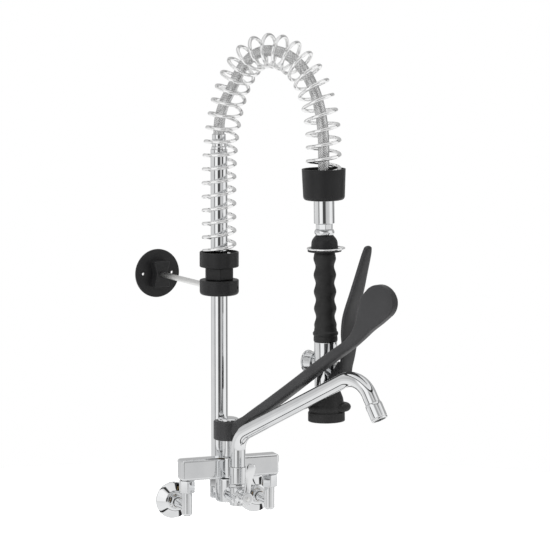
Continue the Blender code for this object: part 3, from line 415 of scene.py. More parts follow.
def finish_kept_nodes():
    """CAD nodes whose shape already serves keep it, and take a finer material."""
    for finish_name, names in KEPT_FINISHES.items():
        for name in names.split():
            node = frame["nodes"][name]
            node.data.materials.clear()
            node.data.materials.append(MATERIALS[finish_name])


# --- building blocks ------------------------------------------------------------------------------

BODY_OF = {name: body for body, names in frame["record"]["behaviour"]["bodies"].items() for name in names}


def add_object(name, mesh):
    obj = bpy.data.objects.new(name, mesh)
    bpy.context.scene.collection.objects.link(obj)
    return obj


def stand_for(obj, node, material):
    """The piece hides the CAD node and takes its place and body, with a material from the table."""
    obj.name = f"{node}_fine"
    obj.data.name = obj.name
    obj.data.materials.clear()
    obj.data.materials.append(MATERIALS[material])
    obj.data.shade_smooth()
    obj.data.set_sharp_from_angle(angle=SHARP_ANGLE)
    even = obj.modifiers.new("even_normals", "WEIGHTED_NORMAL")
    even.keep_sharp = True
    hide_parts(node)
    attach(obj, BODY_OF[node])


def mesh_of(verts, faces):
    mesh = bpy.data.meshes.new("shape")
    mesh.from_pydata([tuple(v * MM) for v in verts], [], faces)
    shape = bmesh.new()
    shape.from_mesh(mesh)
    bmesh.ops.remove_doubles(shape, verts=shape.verts, dist=0.000002)
    bmesh.ops.recalc_face_normals(shape, faces=shape.faces)
    shape.to_mesh(mesh)
    shape.free()
    return add_object("shape", mesh)


def place(obj, at=(0, 0, 0), axis=Z_AXIS, spin=0.0, on=None):
    """Moves the mesh so that its +Z runs along axis from a point; the object itself stays at the origin."""
    turn = Vector(axis).to_track_quat("Z", "Y").to_matrix().to_4x4() if Vector(axis) != Z_AXIS else Matrix()
    move = Matrix.Translation(Vector(at)) @ turn @ Matrix.Rotation(math.radians(spin), 4, "Z")
    whole = (on @ move) if on else move
    whole.translation *= MM
    obj.data.transform(whole)
    return obj


def rounded(outline, closed=True, steps=5):
    """An outline of (x, y) or (x, y, corner) with each stated corner rounded off."""
    count = len(outline)
    points = []
    for i, entry in enumerate(outline):
        here = Vector(entry[:2])
        size = entry[2] if len(entry) > 2 else 0
        if not size or (not closed and i in (0, count - 1)):
            points.append(here)
            continue
        before = Vector(outline[i - 1][:2])
        after = Vector(outline[(i + 1) % count][:2])
        start = here + (before - here).normalized() * min(size, (before - here).length * 0.49)
        end = here + (after - here).normalized() * min(size, (after - here).length * 0.49)
        for step in range(steps + 1):
            t = step / steps
            points.append(start * (1 - t) ** 2 + here * (2 * t * (1 - t)) + end * t**2)
    return points


def turned(profile, sides=SIDES, steps=5):
    """A profile of (radius, height, corner) turned about +Z; it may start and end on the axis."""
    on_axis = profile[0][0] == 0 and profile[-1][0] == 0
    points = rounded(profile, not on_axis, steps)
    verts, faces, rings = [], [], []
    for radius, height in points:
        if radius < 1e-6:
            rings.append([len(verts)] * sides)
            verts.append(Vector((0, 0, height)))
            continue
        rings.append(list(range(len(verts), len(verts) + sides)))
        for i in range(sides):
            angle = 2 * math.pi * i / sides
            verts.append(Vector((radius * math.cos(angle), radius * math.sin(angle), height)))
    pairs = list(zip(rings, rings[1:]))
    if not on_axis:
        pairs.append((rings[-1], rings[0]))
    for first, second in pairs:
        for i in range(sides):
            j = (i + 1) % sides
            corners = list(dict.fromkeys((first[i], first[j], second[j], second[i])))
            if len(corners) > 2:
                faces.append(corners)
    return mesh_of(verts, faces)


def ring(outer, inner, bottom, top, corner):
    return turned([(outer, top, corner), (outer, bottom, corner), (inner, bottom, 0.3), (inner, top, 0.3)])


def rod(radius, bottom, top, corner, sides=SIDES):
    return turned([(0, top), (radius, top, corner), (radius, bottom, corner), (0, bottom)], sides)


def bevel(obj, width, segments=4, angle=30):
    rounding = obj.modifiers.new("edges", "BEVEL")
    rounding.width = width * MM
    rounding.segments = segments
    rounding.limit_method = "ANGLE"
    rounding.angle_limit = math.radians(angle)
    return obj


def prism(sides, across_flats, bottom, top, width):
    """A nut's prism with rounded edges."""
    corner = across_flats / 2 / math.cos(math.pi / sides)
    around = [2 * math.pi * i / sides for i in range(sides)]
    verts = [
        Vector((corner * math.cos(angle), corner * math.sin(angle), height))
        for height in (bottom, top)
        for angle in around
    ]
    faces = [(i, (i + 1) % sides, (i + 1) % sides + sides, i + sides) for i in range(sides)]
    faces += [tuple(range(sides))[::-1], tuple(range(sides, 2 * sides))]
    return bevel(mesh_of(verts, faces), width)


def drill(radius, bottom, top, sides=SMALL_SIDES):
    return rod(radius, bottom, top, 0, sides)


def box(low, high):
    mesh = bpy.data.meshes.new("shape")
    shape = bmesh.new()
    size = Vector(high) - Vector(low)
    middle = (Vector(high) + Vector(low)) / 2
    bmesh.ops.create_cube(shape, size=1, matrix=Matrix.LocRotScale(middle * MM, None, size * MM))
    shape.to_mesh(mesh)
    shape.free()
    return add_object("shape", mesh)


def baked(obj):
    """The same object with its modifiers applied."""
    bpy.context.view_layer.update()
    mesh = bpy.data.meshes.new_from_object(obj.evaluated_get(bpy.context.evaluated_depsgraph_get()))
    obj.modifiers.clear()
    obj.data = mesh
    return obj


def combine(obj, other, operation):
    """Applies a Boolean at once and removes the other object."""
    modifier = obj.modifiers.new("combine", "BOOLEAN")
    modifier.operation = operation
    modifier.solver = "EXACT"
    modifier.object = other
    baked(obj)
    bpy.data.objects.remove(other, do_unlink=True)


def cut(obj, *others):
    for other in others:
        combine(obj, other, "DIFFERENCE")
    return obj


def join(obj, *others):
    for other in others:
        combine(obj, other, "UNION")
    return obj


def sweep(points, radius, across, sides, braid=None):
    """A round bar through points. across is square to the path, one vector for all or one at each point.

    braid is (strands, pitch): the count round the bar, and the strands crossed from one point to the next.
    """
    verts, faces = [], []
    count = len(points)
    for i, point in enumerate(points):
        along = (points[min(i + 1, count - 1)] - points[max(i - 1, 0)]).normalized()
        side = across[i] if isinstance(across, list) else across
        side = (side - along * side.dot(along)).normalized()
        up = along.cross(side)
        for j in range(sides):
            angle = 2 * math.pi * j / sides
            verts.append(point + (side * math.cos(angle) + up * math.sin(angle)) * radius)
    for i in range(count - 1):
        for j in range(sides):
            k = (j + 1) % sides
            faces.append((i * sides + j, i * sides + k, (i + 1) * sides + k, (i + 1) * sides + j))
    faces.append(tuple(range(sides))[::-1])
    faces.append(tuple(range((count - 1) * sides, count * sides)))
    obj = mesh_of(verts, faces)
    if braid:
        strands, pitch = braid
        layer = obj.data.uv_layers.new(name="braid")
        for i in range(count - 1):
            for j in range(sides):
                face = obj.data.polygons[i * sides + j]
                corners = {i * sides + j: (i, j), i * sides + (j + 1) % sides: (i, j + 1)}
                corners[(i + 1) * sides + (j + 1) % sides] = (i + 1, j + 1)
                corners[(i + 1) * sides + j] = (i + 1, j)
                for loop in face.loop_indices:
                    row, column = corners[obj.data.loops[loop].vertex_index]
                    layer.data[loop].uv = (column / sides * strands, row * pitch)
    return obj


def arc(centre, radius, start, stop, steps):
    """Points (x, y) on an arc, angles in degrees, both ends included."""
    angles = [math.radians(start + (stop - start) * i / steps) for i in range(steps + 1)]
    return [(centre[0] + radius * math.cos(a), centre[1] + radius * math.sin(a)) for a in angles]


def eased(stations, per_gap):
    """Rows of numbers joined by a smooth curve through each column."""
    rows = []
    for i in range(len(stations) - 1):
        before = stations[max(i - 1, 0)]
        first, second = stations[i], stations[i + 1]
        after = stations[min(i + 2, len(stations) - 1)]
        for step in range(per_gap):
            t = step / per_gap
            row = []
            for a, b, c, d in zip(before, first, second, after):
                square = (2 * a - 5 * b + 4 * c - d) * t**2
                cube = (3 * b - a - 3 * c + d) * t**3
                row.append(0.5 * (2 * b + (c - a) * t + square + cube))
            rows.append(row)
    rows.append(list(stations[-1]))
    return rows


def loft(stations, across, points, power, crest=None):
    """A bar through (centre, up, half height, half width); its section is a rounded rectangle.

    crest is (place, depth): the broad faces fall away on both sides of a line at that share of the half
    height, by that share of the half width, wherever the section is taller than it is wide.
    """
    verts, faces = [], []
    for centre, up, half_height, half_width in stations:
        for i in range(points):
            angle = 2 * math.pi * (i + 0.5) / points
            cos, sin = math.cos(angle), math.sin(angle)
            side = math.copysign(abs(cos) ** (2 / power), cos) * half_width
            rise = math.copysign(abs(sin) ** (2 / power), sin) * half_height
            if crest:
                broad = min(1.0, max(0.0, (half_height / half_width - 1.1) / 1.2))
                flat = 2 / (power + 4 * broad)
                side = math.copysign(abs(cos) ** flat, cos) * half_width
                rise = math.copysign(abs(sin) ** flat, sin) * half_height
                side *= 1 - crest[1] * broad * abs(rise / half_height - crest[0])
            verts.append(centre + across * side + up * rise)
    for i in range(len(stations) - 1):
        for j in range(points):
            k = (j + 1) % points
            faces.append((i * points + j, i * points + k, (i + 1) * points + k, (i + 1) * points + j))
    faces.append(tuple(range(points)))
    faces.append(tuple(range((len(stations) - 1) * points, len(stations) * points)))
    return mesh_of(verts, faces)


def rounded_end(stations, length, steps=7, thinning=1.0):
    """Ends a loft in a dome: sections shrink over a length beyond the last station.

    The half width shrinks by a power of the half height's own share, so a low one keeps a plate thick.
    """
    centre, up, half_height, half_width = stations[-1]
    along = (centre - stations[-2][0]).normalized()
    dome = []
    for i in range(1, steps + 1):
        angle = math.radians(86 * i / steps)
        share = math.cos(angle)
        far = centre + along * length * math.sin(angle)
        dome.append((far, up, half_height * share, half_width * share**thinning))
    return stations + dome


def extruded(outline, thickness):
    """A flat outline of (x, y), centred on z = 0."""
    count = len(outline)
    verts = [Vector((x, y, z)) for z in (-thickness / 2, thickness / 2) for x, y in outline]
    faces = [(i, (i + 1) % count, (i + 1) % count + count, i + count) for i in range(count)]
    faces += [tuple(range(count))[::-1], tuple(range(count, 2 * count))]
    return mesh_of(verts, faces)


# --- inlets ---------------------------------------------------------------------------------------

def make_inlet(side, sign):
    x = sign * INLET_SPACING_HALF
    leg_bore = LEG_RADIUS + GAP
    collar = place(prism(6, 25, COLLAR_NUT_BOTTOM, COLLAR_NUT_TOP, 1.6), (x, -BODY_REACH, 0), spin=18)
    cut(collar, place(drill(leg_bore, 20, 60), (x, -BODY_REACH, 0)))
    stand_for(collar, f"upper_union_nut_{side}", "chrome")

    upright = [(0, LEG_TOP), (LEG_RADIUS, LEG_TOP, 0.6), (LEG_RADIUS, ELBOW_BOTTOM, 4.5), (0, ELBOW_BOTTOM)]
    elbow = place(turned(upright, 72, 9), (x, -BODY_REACH, 0))
    join(elbow, place(rod(LEG_RADIUS - 0.4, 23, BODY_REACH, 0.5, 72), (x, 0, 0), FORWARD))
    stand_for(elbow, f"inlet_leg_{side}", "chrome")

    nut = place(prism(6, 21.5, ROSETTE_DEPTH + GAP, WALL_NUT_FRONT, 1.3), (x, 0, 0), FORWARD, 12)
    cut(nut, place(drill(leg_bore, 5, 40), (x, 0, 0), FORWARD))
    stand_for(nut, f"wall_union_nut_{side}", "chrome")

    cone = [
        (14.6, ROSETTE_DEPTH, 1.2),
        (17.5, ROSETTE_DEPTH - 0.8, 1.5),
        (ROSETTE_RADIUS - 1.8, 4.2, 1.6),
        (ROSETTE_RADIUS, 2.6, 0.8),
        (ROSETTE_RADIUS, 0, 0.4),
        (ROSETTE_BORE, 0),
        (ROSETTE_BORE, ROSETTE_DEPTH, 0.6),
    ]
    stand_for(place(turned(cone), (x, 0, 0), FORWARD), f"rosette_{side}", "chrome")


# --- mixer and elbow lever ------------------------------------------------------------------------

def make_mixer():
    low = (-BAR_HALF_LENGTH, -BODY_REACH - BAR_HALF_DEPTH, BAR_BOTTOM)
    high = (BAR_HALF_LENGTH, -BODY_REACH + BAR_HALF_DEPTH, BAR_TOP)
    bar = baked(bevel(box(low, high), 4.5, 8))
    barrel = rod(BARREL_RADIUS, BAR_BOTTOM + 0.5, BAR_TOP - 0.5, 2.2)
    join(bar, place(barrel, (0, -BARREL_REACH, 0)))
    column_radius, column_bore = 10, 7
    cut(bar, place(drill(column_bore + 0.5, BAR_BOTTOM - 8, BAR_TOP + 6), BODY_AT))
    stand_for(bar, "mixer_bar", "chrome")
    column = place(ring(column_radius, column_bore, BAR_TOP + GAP, HUB_BOTTOM + 4, 0.6), BODY_AT)
    stand_for(column, "cartridge_housing", "chrome")


def make_lever():
    direction = plan(LEVER_DIRECTION)
    across = Z_AXIS.cross(direction)
    # out and height along the lever's own plane, its slope there, half height and half width
    arm = [
        (20, 132, 24, 13.6, 13.6),
        (34, 142, 30, 12.0, 13.4),
        (48, 152.2, 37, 9.2, 13.0),
        (60, 161.4, 36, 8.0, 12.9),
        (80, 173.2, 32, 9.2, 12.8),
        (100, 185.2, 32, 9.9, 12.8),
        (160, 225, 32.5, 9.8, 12.6),
        (232, 274, 32.5, 9.6, 12.2),
        (282, 306, 34, 9.2, 11.4),
        (304, 325, 42, 11.9, 10.6),
        (320.1, 346.6, 49, 18.6, 9.6),
        (334.8, 368, 51, 28.5, 9.2),
        (352, 384, 51, 31.0, 9.0),
    ]
    stations = []
    for out, height, slope, half_height, half_width in eased(arm, 7):
        angle = math.radians(slope)
        up = Z_AXIS * math.cos(angle) - direction * math.sin(angle)
        stations.append((BODY_AT + direction * out + Z_AXIS * height, up, half_height, half_width))
    blade = loft(rounded_end(stations, 32.5, 18, 0.3), across, 96, 3.2, (-0.42, 0.10))
    hub = [(0, HUB_TOP), (HUB_RADIUS, HUB_TOP, 2.6), (HUB_RADIUS, HUB_BOTTOM, 2.2), (0, HUB_BOTTOM)]
    lever = join(place(turned(hub), BODY_AT), blade)
    cut(lever, place(drill(HUB_RADIUS - HUB_WALL, HUB_BOTTOM - 9, HUB_TOP - 4, SIDES), BODY_AT))
    cut(lever, place(drill(2.8, HUB_TOP - 11, HUB_TOP + 9, 24), BODY_AT))
    stand_for(lever, "lever_handle", "sheen_painted_lever_plastic")

    cap_radius, cap_rise, cap_bottom = 18, 4.4, HUB_TOP + GAP
    dome = []
    for degrees in range(0, 91, 5):
        angle = math.radians(degrees)
        dome.append((cap_radius * math.sin(angle), cap_bottom + 1.8 + cap_rise * math.cos(angle)))
    bore, bore_top = 6.2, 150.6
    outline = [*dome, (cap_radius, cap_bottom, 0.6), (bore, cap_bottom), (bore, bore_top), (0, bore_top)]
    stand_for(place(turned(outline), BODY_AT), "lever_cap", "chrome")


# --- lower manifold, spout and its valve ----------------------------------------------------------

def make_manifold():
    body_radius, run_radius, riser_boss, spout_boss = 22, 15, 17, 14.5
    riser_bore, nut_recess, spout_bore = RISER_RADIUS + GAP, 20.8, 8.5
    body = place(rod(body_radius, 7, BAR_BOTTOM - GAP, 2.5), BODY_AT)
    run = rod(run_radius, -VALVE_SEAT, -RISER_REACH + 2, 1.8)
    join(body, place(run, (0, 0, MANIFOLD_HEIGHT), Y_AXIS))
    join(body, place(rod(riser_boss, 4.5, 30, 2.0), RISER_AT))
    join(body, place(rod(spout_boss, 8.5, 40.4, 1.2), SPOUT_AT))
    cut(body, place(drill(nut_recess, 24.7, 60, 64), RISER_AT))
    cut(body, place(drill(riser_bore, 19.7, 60, 64), RISER_AT))
    cut(body, place(drill(spout_bore, 12, 45), SPOUT_AT))
    cut(body, place(drill(SPINDLE_BORE, SPOUT_REACH, SPOUT_REACH + 20), (0, 0, VALVE_HEIGHT), FORWARD))
    stand_for(body, "diverter_body", "chrome")
    nut = place(prism(6, 35, 25, 45, 2.0), RISER_AT, spin=10)
    cut(nut, place(drill(riser_bore, 10, 50, 64), RISER_AT))
    stand_for(nut, "riser_nut", "chrome")


def make_spout():
    bore, nut_top, sleeve_top = 11.4, 46.4, 75
    nut = place(prism(8, 28.5, 40.8, nut_top, 1.0), SPOUT_AT, spin=6)
    cut(nut, place(drill(bore, 30, 60), SPOUT_AT))
    stand_for(nut, "spout_union_nut", "chrome")
    sleeve = place(ring(15.2, bore, nut_top + GAP, sleeve_top, 1.4), SPOUT_AT)
    stand_for(sleeve, "spout_sleeve", "chrome")

    direction = plan(SPOUT_DIRECTION)

    def at(out, height):
        return SPOUT_AT + direction * out + Z_AXIS * height

    rise, run, upper_bend, nose_slope = 27.5, 236, 42, -60
    knee_radius, knee_height = 38, 104
    knee = arc((knee_radius, knee_height), knee_radius, 180, 90 + rise, 26)
    slope = Vector((math.cos(math.radians(rise)), math.sin(math.radians(rise))))
    run_end = Vector(knee[-1]) + slope * run
    centre = run_end + Vector((slope.y, -slope.x)) * upper_bend
    crown = arc(centre, upper_bend, 90 + rise, 90 + nose_slope, 34)
    nose = Vector((math.cos(math.radians(nose_slope)), math.sin(math.radians(nose_slope))))
    tip = Vector(crown[-1]) + nose * 16
    flat = [(0, sleeve_top + GAP), *knee, *crown, tuple(tip)]
    across = Z_AXIS.cross(direction)
    stand_for(sweep([at(*p) for p in flat], SPOUT_RADIUS, across, 72), "spout_tube", "chrome")

    outlet = tip + nose * GAP
    axis = direction * nose.x + Z_AXIS * nose.y
    nozzle = [
        (13.4, 0, 0.9),
        (14.2, 3.5, 1.5),
        (14.2, 24.8, 0.5),
        (13.5, 25.6, 0.3),
        (14.2, 26.4, 0.4),
        (13.4, 29, 1.0),
        (10.3, 29, 0.4),
        (10.3, 0),
    ]
    stand_for(place(turned(nozzle), at(*outlet), axis), "spout_nozzle", "chrome")


def make_spout_valve():
    at = Vector((0, 0, VALVE_HEIGHT))
    seat = VALVE_SEAT + GAP
    face = seat + 19
    bonnet = [
        (11.2, face, 0.8),
        (13.4, seat + 15, 1.5),
        (13.4, seat + 5, 1.5),
        (11, seat + 2, 0.8),
        (11, seat),
        (SPINDLE_BORE, seat),
        (SPINDLE_BORE, face),
    ]
    stand_for(place(turned(bonnet), at, FORWARD), "valve_bonnet", "chrome")
    handle = place(rod(10.8, face + GAP, face + 15, 2.4), at, FORWARD)
    lean = math.radians(8)
    up = Z_AXIS * math.cos(lean) + X_AXIS * math.sin(lean)
    # height above the hub's axis, half width, half thickness and shift forward
    shank = [
        (2, 6.5, 5.0, 0),
        (14, 5.6, 3.8, 0),
        (32, 6.4, 3.4, 1),
        (46, 8.4, 3.2, 2),
        (54, 8.8, 3.0, 2.5),
        (58, 8.0, 2.6, 2.8),
    ]
    stations = [
        (at + FORWARD * (face + 8 + shift) + up * height, FORWARD, thick, wide)
        for height, wide, thick, shift in eased(shank, 8)
    ]
    join(handle, loft(rounded_end(stations, 2.5), up.cross(FORWARD), 40, 2.6))
    cut(handle, place(drill(4.5, face - 5, face + 12.3), at, FORWARD))
    cut(handle, place(drill(2.3, face, face + 30, 24), at, FORWARD))
    stand_for(handle, "valve_handle", "chrome")


# --- riser, spring and hose -----------------------------------------------------------------------

def arch_line(start, end):
    """The arch's centre line as (out, height), from a height on the riser to one below its far end."""
    half, steps = ARCH_REACH / 2, 320
    line = [(0.0, float(start))]
    for i in range(steps + 1):
        angle = math.pi * i / steps
        side = -math.copysign(abs(math.cos(angle)) ** (2 / ARCH_POWER), math.cos(angle))
        span = ARCH_RISE if side < 0 else ARCH_FALL
        rise = max(0, 1 - abs(side) ** ARCH_POWER) ** (1 / ARCH_POWER)
        line.append((half * (1 + side), ARCH_TOP - span + span * rise))
    line.append((float(ARCH_REACH), float(end)))
    return line


class Route:
    """A path by its length, for what winds round it or is swept along it."""

    def __init__(self, line):
        self.points = [RISER_AT + ARCH_WAY * out + Z_AXIS * height for out, height in line]
        self.marks = [0.0]
        for a, b in zip(self.points, self.points[1:]):
            self.marks.append(self.marks[-1] + (b - a).length)
        self.length = self.marks[-1]
        self.last = 0

    def at(self, distance):
        distance = min(max(distance, 0), self.length)
        while self.last > 0 and self.marks[self.last] > distance:
            self.last -= 1
        while self.last < len(self.marks) - 2 and self.marks[self.last + 1] < distance:
            self.last += 1
        low, high = self.marks[self.last], self.marks[self.last + 1]
        share = (distance - low) / max(high - low, 1e-9)
        return self.points[self.last].lerp(self.points[self.last + 1], share)

    def forward(self, distance):
        reach = 6
        return (self.at(distance + reach) - self.at(distance - reach)).normalized()


def make_riser():
    bore, top = 11.8, 606
    stand_for(place(ring(RISER_RADIUS, bore, 20, top, 0.6), RISER_AT), "riser_pipe", "chrome")
    sleeve = [
        (11.6, HOSE_START - GAP, 1.2),
        (11.6, top + 6, 0.5),
        (12.8, top + 4, 0.6),
        (12.8, top + GAP, 0.4),
        (6, top + GAP),
        (6, HOSE_START - GAP),
    ]
    stand_for(place(turned(sleeve), RISER_AT), "riser_hose_sleeve", "chrome")


def make_spring():
    route = Route(arch_line(SPRING_BOTTOM, SPRING_END))
    side = ARCH_WAY.cross(Z_AXIS)
    per_turn = 48
    steps = round(SPRING_TURNS * per_turn)
    coil, radials = [], []
    for i in range(steps + 1):
        distance = route.length * i / steps
        angle = 2 * math.pi * i / per_turn + math.pi / 2
        outward = side.cross(route.forward(distance))
        radial = outward * math.cos(angle) + side * math.sin(angle)
        radials.append(radial)
        coil.append(route.at(distance) + radial * SPRING_RADIUS)
    stand_for(sweep(coil, SPRING_WIRE, radials, 18), "balance_spring", "spring")


def make_hose():
    line = [(0.0, HOSE_START), (0.0, HOSE_START + 2)]
    for out, height in arch_line(HOSE_START, CUP_RIM - CUP_DEPTH)[1:]:
        rising = out < ARCH_REACH / 2
        if not rising or height > HOSE_START + 5:
            share = min(1, max(0, (height - HOSE_START) / HOSE_SETTLES)) if rising else 1
            line.append((out * share * share * (3 - 2 * share), height))
    route = Route(line)
    count = 300
    points = [route.at(route.length * i / count) for i in range(count + 1)]
    strands = 14
    pitch = route.length / count / (2 * math.pi * HOSE_RADIUS) * strands
    hose = sweep(points, HOSE_RADIUS, ARCH_WAY.cross(Z_AXIS), 42, (strands, pitch))
    stand_for(hose, "spray_hose", "hose")


# --- wall bracket ---------------------------------------------------------------------------------

def make_bracket():
    back = -plan(BRACKET_TURN)
    bore = RISER_RADIUS + GAP
    clamp_top = CLAMP_BOTTOM + COLLAR_HEIGHT
    neck_top = clamp_top + NECK_HEIGHT
    rod_at = RISER_AT + Z_AXIS * ROD_HEIGHT
    screw_at = RISER_AT + Z_AXIS * (CLAMP_BOTTOM + COLLAR_HEIGHT / 2)

    profile = [
        (COLLAR_RADIUS, clamp_top, 1.8),
        (COLLAR_RADIUS, CLAMP_BOTTOM, 6.5),
        (bore, CLAMP_BOTTOM, 0.5),
        (bore, clamp_top, 0.5),
    ]
    collar = place(turned(profile, SIDES, 8), RISER_AT)
    facet = box((-30, COLLAR_RADIUS - 2, CLAMP_BOTTOM - 5), (30, COLLAR_RADIUS + 10, clamp_top + 5))
    cut(collar, place(facet, RISER_AT, spin=math.degrees(math.atan2(back.y, back.x)) - 90))
    cut(collar, place(drill(ROD_RADIUS + GAP, RISER_RADIUS + 4.7, 60), rod_at, back))
    cut(collar, place(drill(3.2, 10, 60, 32), screw_at, plan(52)))
    stand_for(collar, "clamp_collar", "plastic")

    neck = place(prism(6, 46, clamp_top + GAP, neck_top - GAP, 1.8), RISER_AT, spin=14)
    cut(neck, place(drill(bore, clamp_top - 10, neck_top + 10), RISER_AT))
    stand_for(neck, "clamp_neck", "plastic")

    rim = 3.1
    seat = [
        (COLLAR_RADIUS, neck_top + COLLAR_HEIGHT, 1.6),
        (COLLAR_RADIUS, neck_top, 1.8),
        (bore, neck_top, 0.5),
        (bore, neck_top + 4),
        (COLLAR_RADIUS - rim, neck_top + 4, 1.0),
        (COLLAR_RADIUS - rim, neck_top + COLLAR_HEIGHT, 0.8),
    ]
    stand_for(place(turned(seat), RISER_AT), "spring_seat_collar", "plastic")

    disc, boss_depth = 4, 19
    rod_end = PLATE_REACH - disc - boss_depth + 10
    stay = place(rod(ROD_RADIUS, RISER_RADIUS + 5, rod_end, 0.8, 64), rod_at, back)
    stand_for(stay, "bracket_rod", "satin")

    plate_profile = [
        (0, PLATE_REACH),
        (PLATE_RADIUS, PLATE_REACH, 0.4),
        (PLATE_RADIUS, PLATE_REACH - disc, 1.6),
        (0, PLATE_REACH - disc),
    ]
    wall_plate = place(turned(plate_profile), rod_at, back, 4)
    sideways = Z_AXIS.cross(back)
    hole_radius, holes_apart = 2.7, 57
    for sign in (-1, 1):
        hole = drill(hole_radius, PLATE_REACH - 20, PLATE_REACH + 10, 40)
        cut(wall_plate, place(hole, rod_at + sideways * (holes_apart / 2 * sign), back))
    half_tall, half_wide, waist, steps = 23, 15, 4.5, 24
    right = [
        (half_wide - waist * math.sin(math.pi * i / steps) ** 2, -half_tall + 2 * half_tall * i / steps)
        for i in range(steps + 1)
    ]
    boss = bevel(extruded(right + [(-x, y) for x, y in reversed(right)], boss_depth + 2), 2.4, 4, 40)
    place(boss, rod_at + back * (PLATE_REACH - disc - boss_depth / 2 + 1), back)
    join(wall_plate, baked(boss))
    cut(wall_plate, place(drill(ROD_RADIUS + GAP, 180, rod_end + GAP), rod_at, back))
    stand_for(wall_plate, "wall_plate", "plastic")


# --- hand spray -----------------------------------------------------------------------------------

def on_spray(profile, node, material, steps=5):
    stand_for(place(turned(profile, SIDES, steps), on=SPRAY), node, material)


def make_cup_and_fittings():
    wall = 3.2
    cup = [
        (36.5, 0, 0.9),
        (34.4, -CUP_DEPTH, 6.5),
        (10.2, -CUP_DEPTH, 0.4),
        (10.2, -CUP_DEPTH + 4),
        (34.4 - wall, -CUP_DEPTH + 4, 3),
        (36.5 - wall, 0, 0.9),
    ]
    on_spray(cup, "spring_cup", "plastic", 9)
    top, bottom = -CUP_DEPTH - GAP, -SLEEVE_END
    sleeve = [(17.2, top, 1.0), (17.2, bottom, 1.0), (7, bottom), (7, top)]
    on_spray(sleeve, "hose_end_sleeve", "chrome")
    fitting = place(prism(8, 26.5, -FITTING_END, -SLEEVE_END - GAP, 0.8), on=SPRAY)
    cut(fitting, place(drill(6.5, -FITTING_END - 10, -SLEEVE_END + 10), on=SPRAY))
    stand_for(fitting, "hose_fitting", "chrome")
    top, bottom = -FITTING_END - GAP, -SWIVEL_END
    swivel = [
        (15.2, top, 1.0),
        (17.3, (top + bottom) / 2, 3.4),
        (15.2, bottom, 1.0),
        (6.5, bottom),
        (6.5, top),
    ]
    on_spray(swivel, "spray_swivel_nut", "chrome")


def make_grip():
    bore, top, bottom = 11, -SWIVEL_END - GAP, -SHOULDER_END
    shoulder = [
        (14.5, top, 1.2),
        (21.6, -119, 5),
        (22.6, bottom + 3.8, 1.6),
        (28.3, bottom + 3.8, 1.2),
        (28.3, bottom, 1.2),
        (bore, bottom),
        (bore, -118),
        (6.8, -114),
        (6.8, top),
    ]
    on_spray(shoulder, "spray_shoulder", "plastic")
    rib_start, rib_pitch, rib_middle, rib_swing, rib_points = 149, 28, 17.2, 1.6, 67
    ribs = []
    for i in range(rib_points):
        below = rib_pitch / 16 * i
        ribs.append((rib_middle + rib_swing * math.cos(2 * math.pi * below / rib_pitch), -rib_start - below))
    top, bottom = -SHOULDER_END - GAP, -GRIP_END
    outline = [
        (16.4, top, 0.8),
        (17.8, -143, 1.5),
        *ribs,
        (19.2, -271, 1.0),
        (21.2, -273, 1.2),
        (21.2, -276.8, 1.2),
        (19.6, -278.4, 0.8),
        (20.2, -284, 1.5),
        (19.8, bottom, 0.8),
        (bore, bottom),
        (bore, top),
    ]
    on_spray(outline, "spray_grip", "rubber")
    ring_radius, wire = 30.5, 1.5
    hold = place(turned(arc((ring_radius, 0), wire, 0, 342, 19)), (3.0, 0, -132.4), on=SPRAY)
    stand_for(hold, "hold_ring", "spring")


def make_spray_valve():
    back, front = -X_AXIS, X_AXIS
    radius, chamber_bore, plunger_bore = 19.2, 10, 3.4
    chamber_at = (0, 0, -PLUNGER_DOWN)
    pivot = (PIVOT_OUT, 0, -PIVOT_DOWN)
    body = place(rod(radius, -BODY_END, -GRIP_END - GAP, 1.6), on=SPRAY)
    join(body, place(rod(13.6, 0, 25, 0.8), chamber_at, back, on=SPRAY))
    lug = bevel(box((8, -8, -PIVOT_DOWN - 7), (PIVOT_OUT + 6.5, 8, -PIVOT_DOWN + 7)), 2.4, 5)
    join(body, place(baked(lug), on=SPRAY))
    for sign in (-1, 1):
        near, far = sorted((8.1 * sign, 30 * sign))
        flat = box((10, near, -PIVOT_DOWN - 30), (40, far, -PIVOT_DOWN + 22))
        cut(body, place(flat, on=SPRAY))
    cut(body, place(drill(chamber_bore, 8, 40), chamber_at, back, on=SPRAY))
    cut(body, place(drill(plunger_bore, -12, 40, 32), chamber_at, front, on=SPRAY))
    cut(body, place(drill(PIN_BORE, -20, 20, 32), pivot, Y_AXIS, on=SPRAY))
    stand_for(body, "valve_body", "chrome")

    cap = [
        (0, 40.2),
        (16.4, 40.2, 1.2),
        (17.4, 38.9, 0.5),
        (19.2, 38.8, 0.8),
        (19.2, 35.9, 0.8),
        (17.2, 35.4, 0.8),
        (17.2, 20.6, 1.2),
        (13.9, 20.6),
        (13.9, 27),
        (11, 28),
        (11, 37),
        (0, 37),
    ]
    stand_for(place(turned(cap), chamber_at, back, on=SPRAY), "side_cap", "soft_chrome")
    pin = [(0, 13.4), (4.2, 13.4, 1.0), (4.2, 12.15, 0.2), (2.3, 12.15), (2.3, -13, 0.4), (0, -13)]
    stand_for(place(turned(pin, SMALL_SIDES), pivot, Y_AXIS, on=SPRAY), "trigger_pin", "chrome")


def make_plunger_spring():
    """A coil of four turns running up to its seat in the side cap."""
    near, seat, radius, wire = 17.6, 36.0, 7, 0.7
    turns, per_turn = 4, 32
    coil, radials = [], []
    for i in range(turns * per_turn + 1):
        angle = 2 * math.pi * i / per_turn
        radial = Vector((math.cos(angle), math.sin(angle), 0))
        radials.append(radial)
        coil.append(radial * radius + Z_AXIS * (near + (seat - near) * i / (turns * per_turn)))
    spring = place(sweep(coil, wire, radials, 12), (0, 0, -PLUNGER_DOWN), -X_AXIS, on=SPRAY)
    stand_for(spring, "plunger_spring", "spring")
    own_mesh(spring)


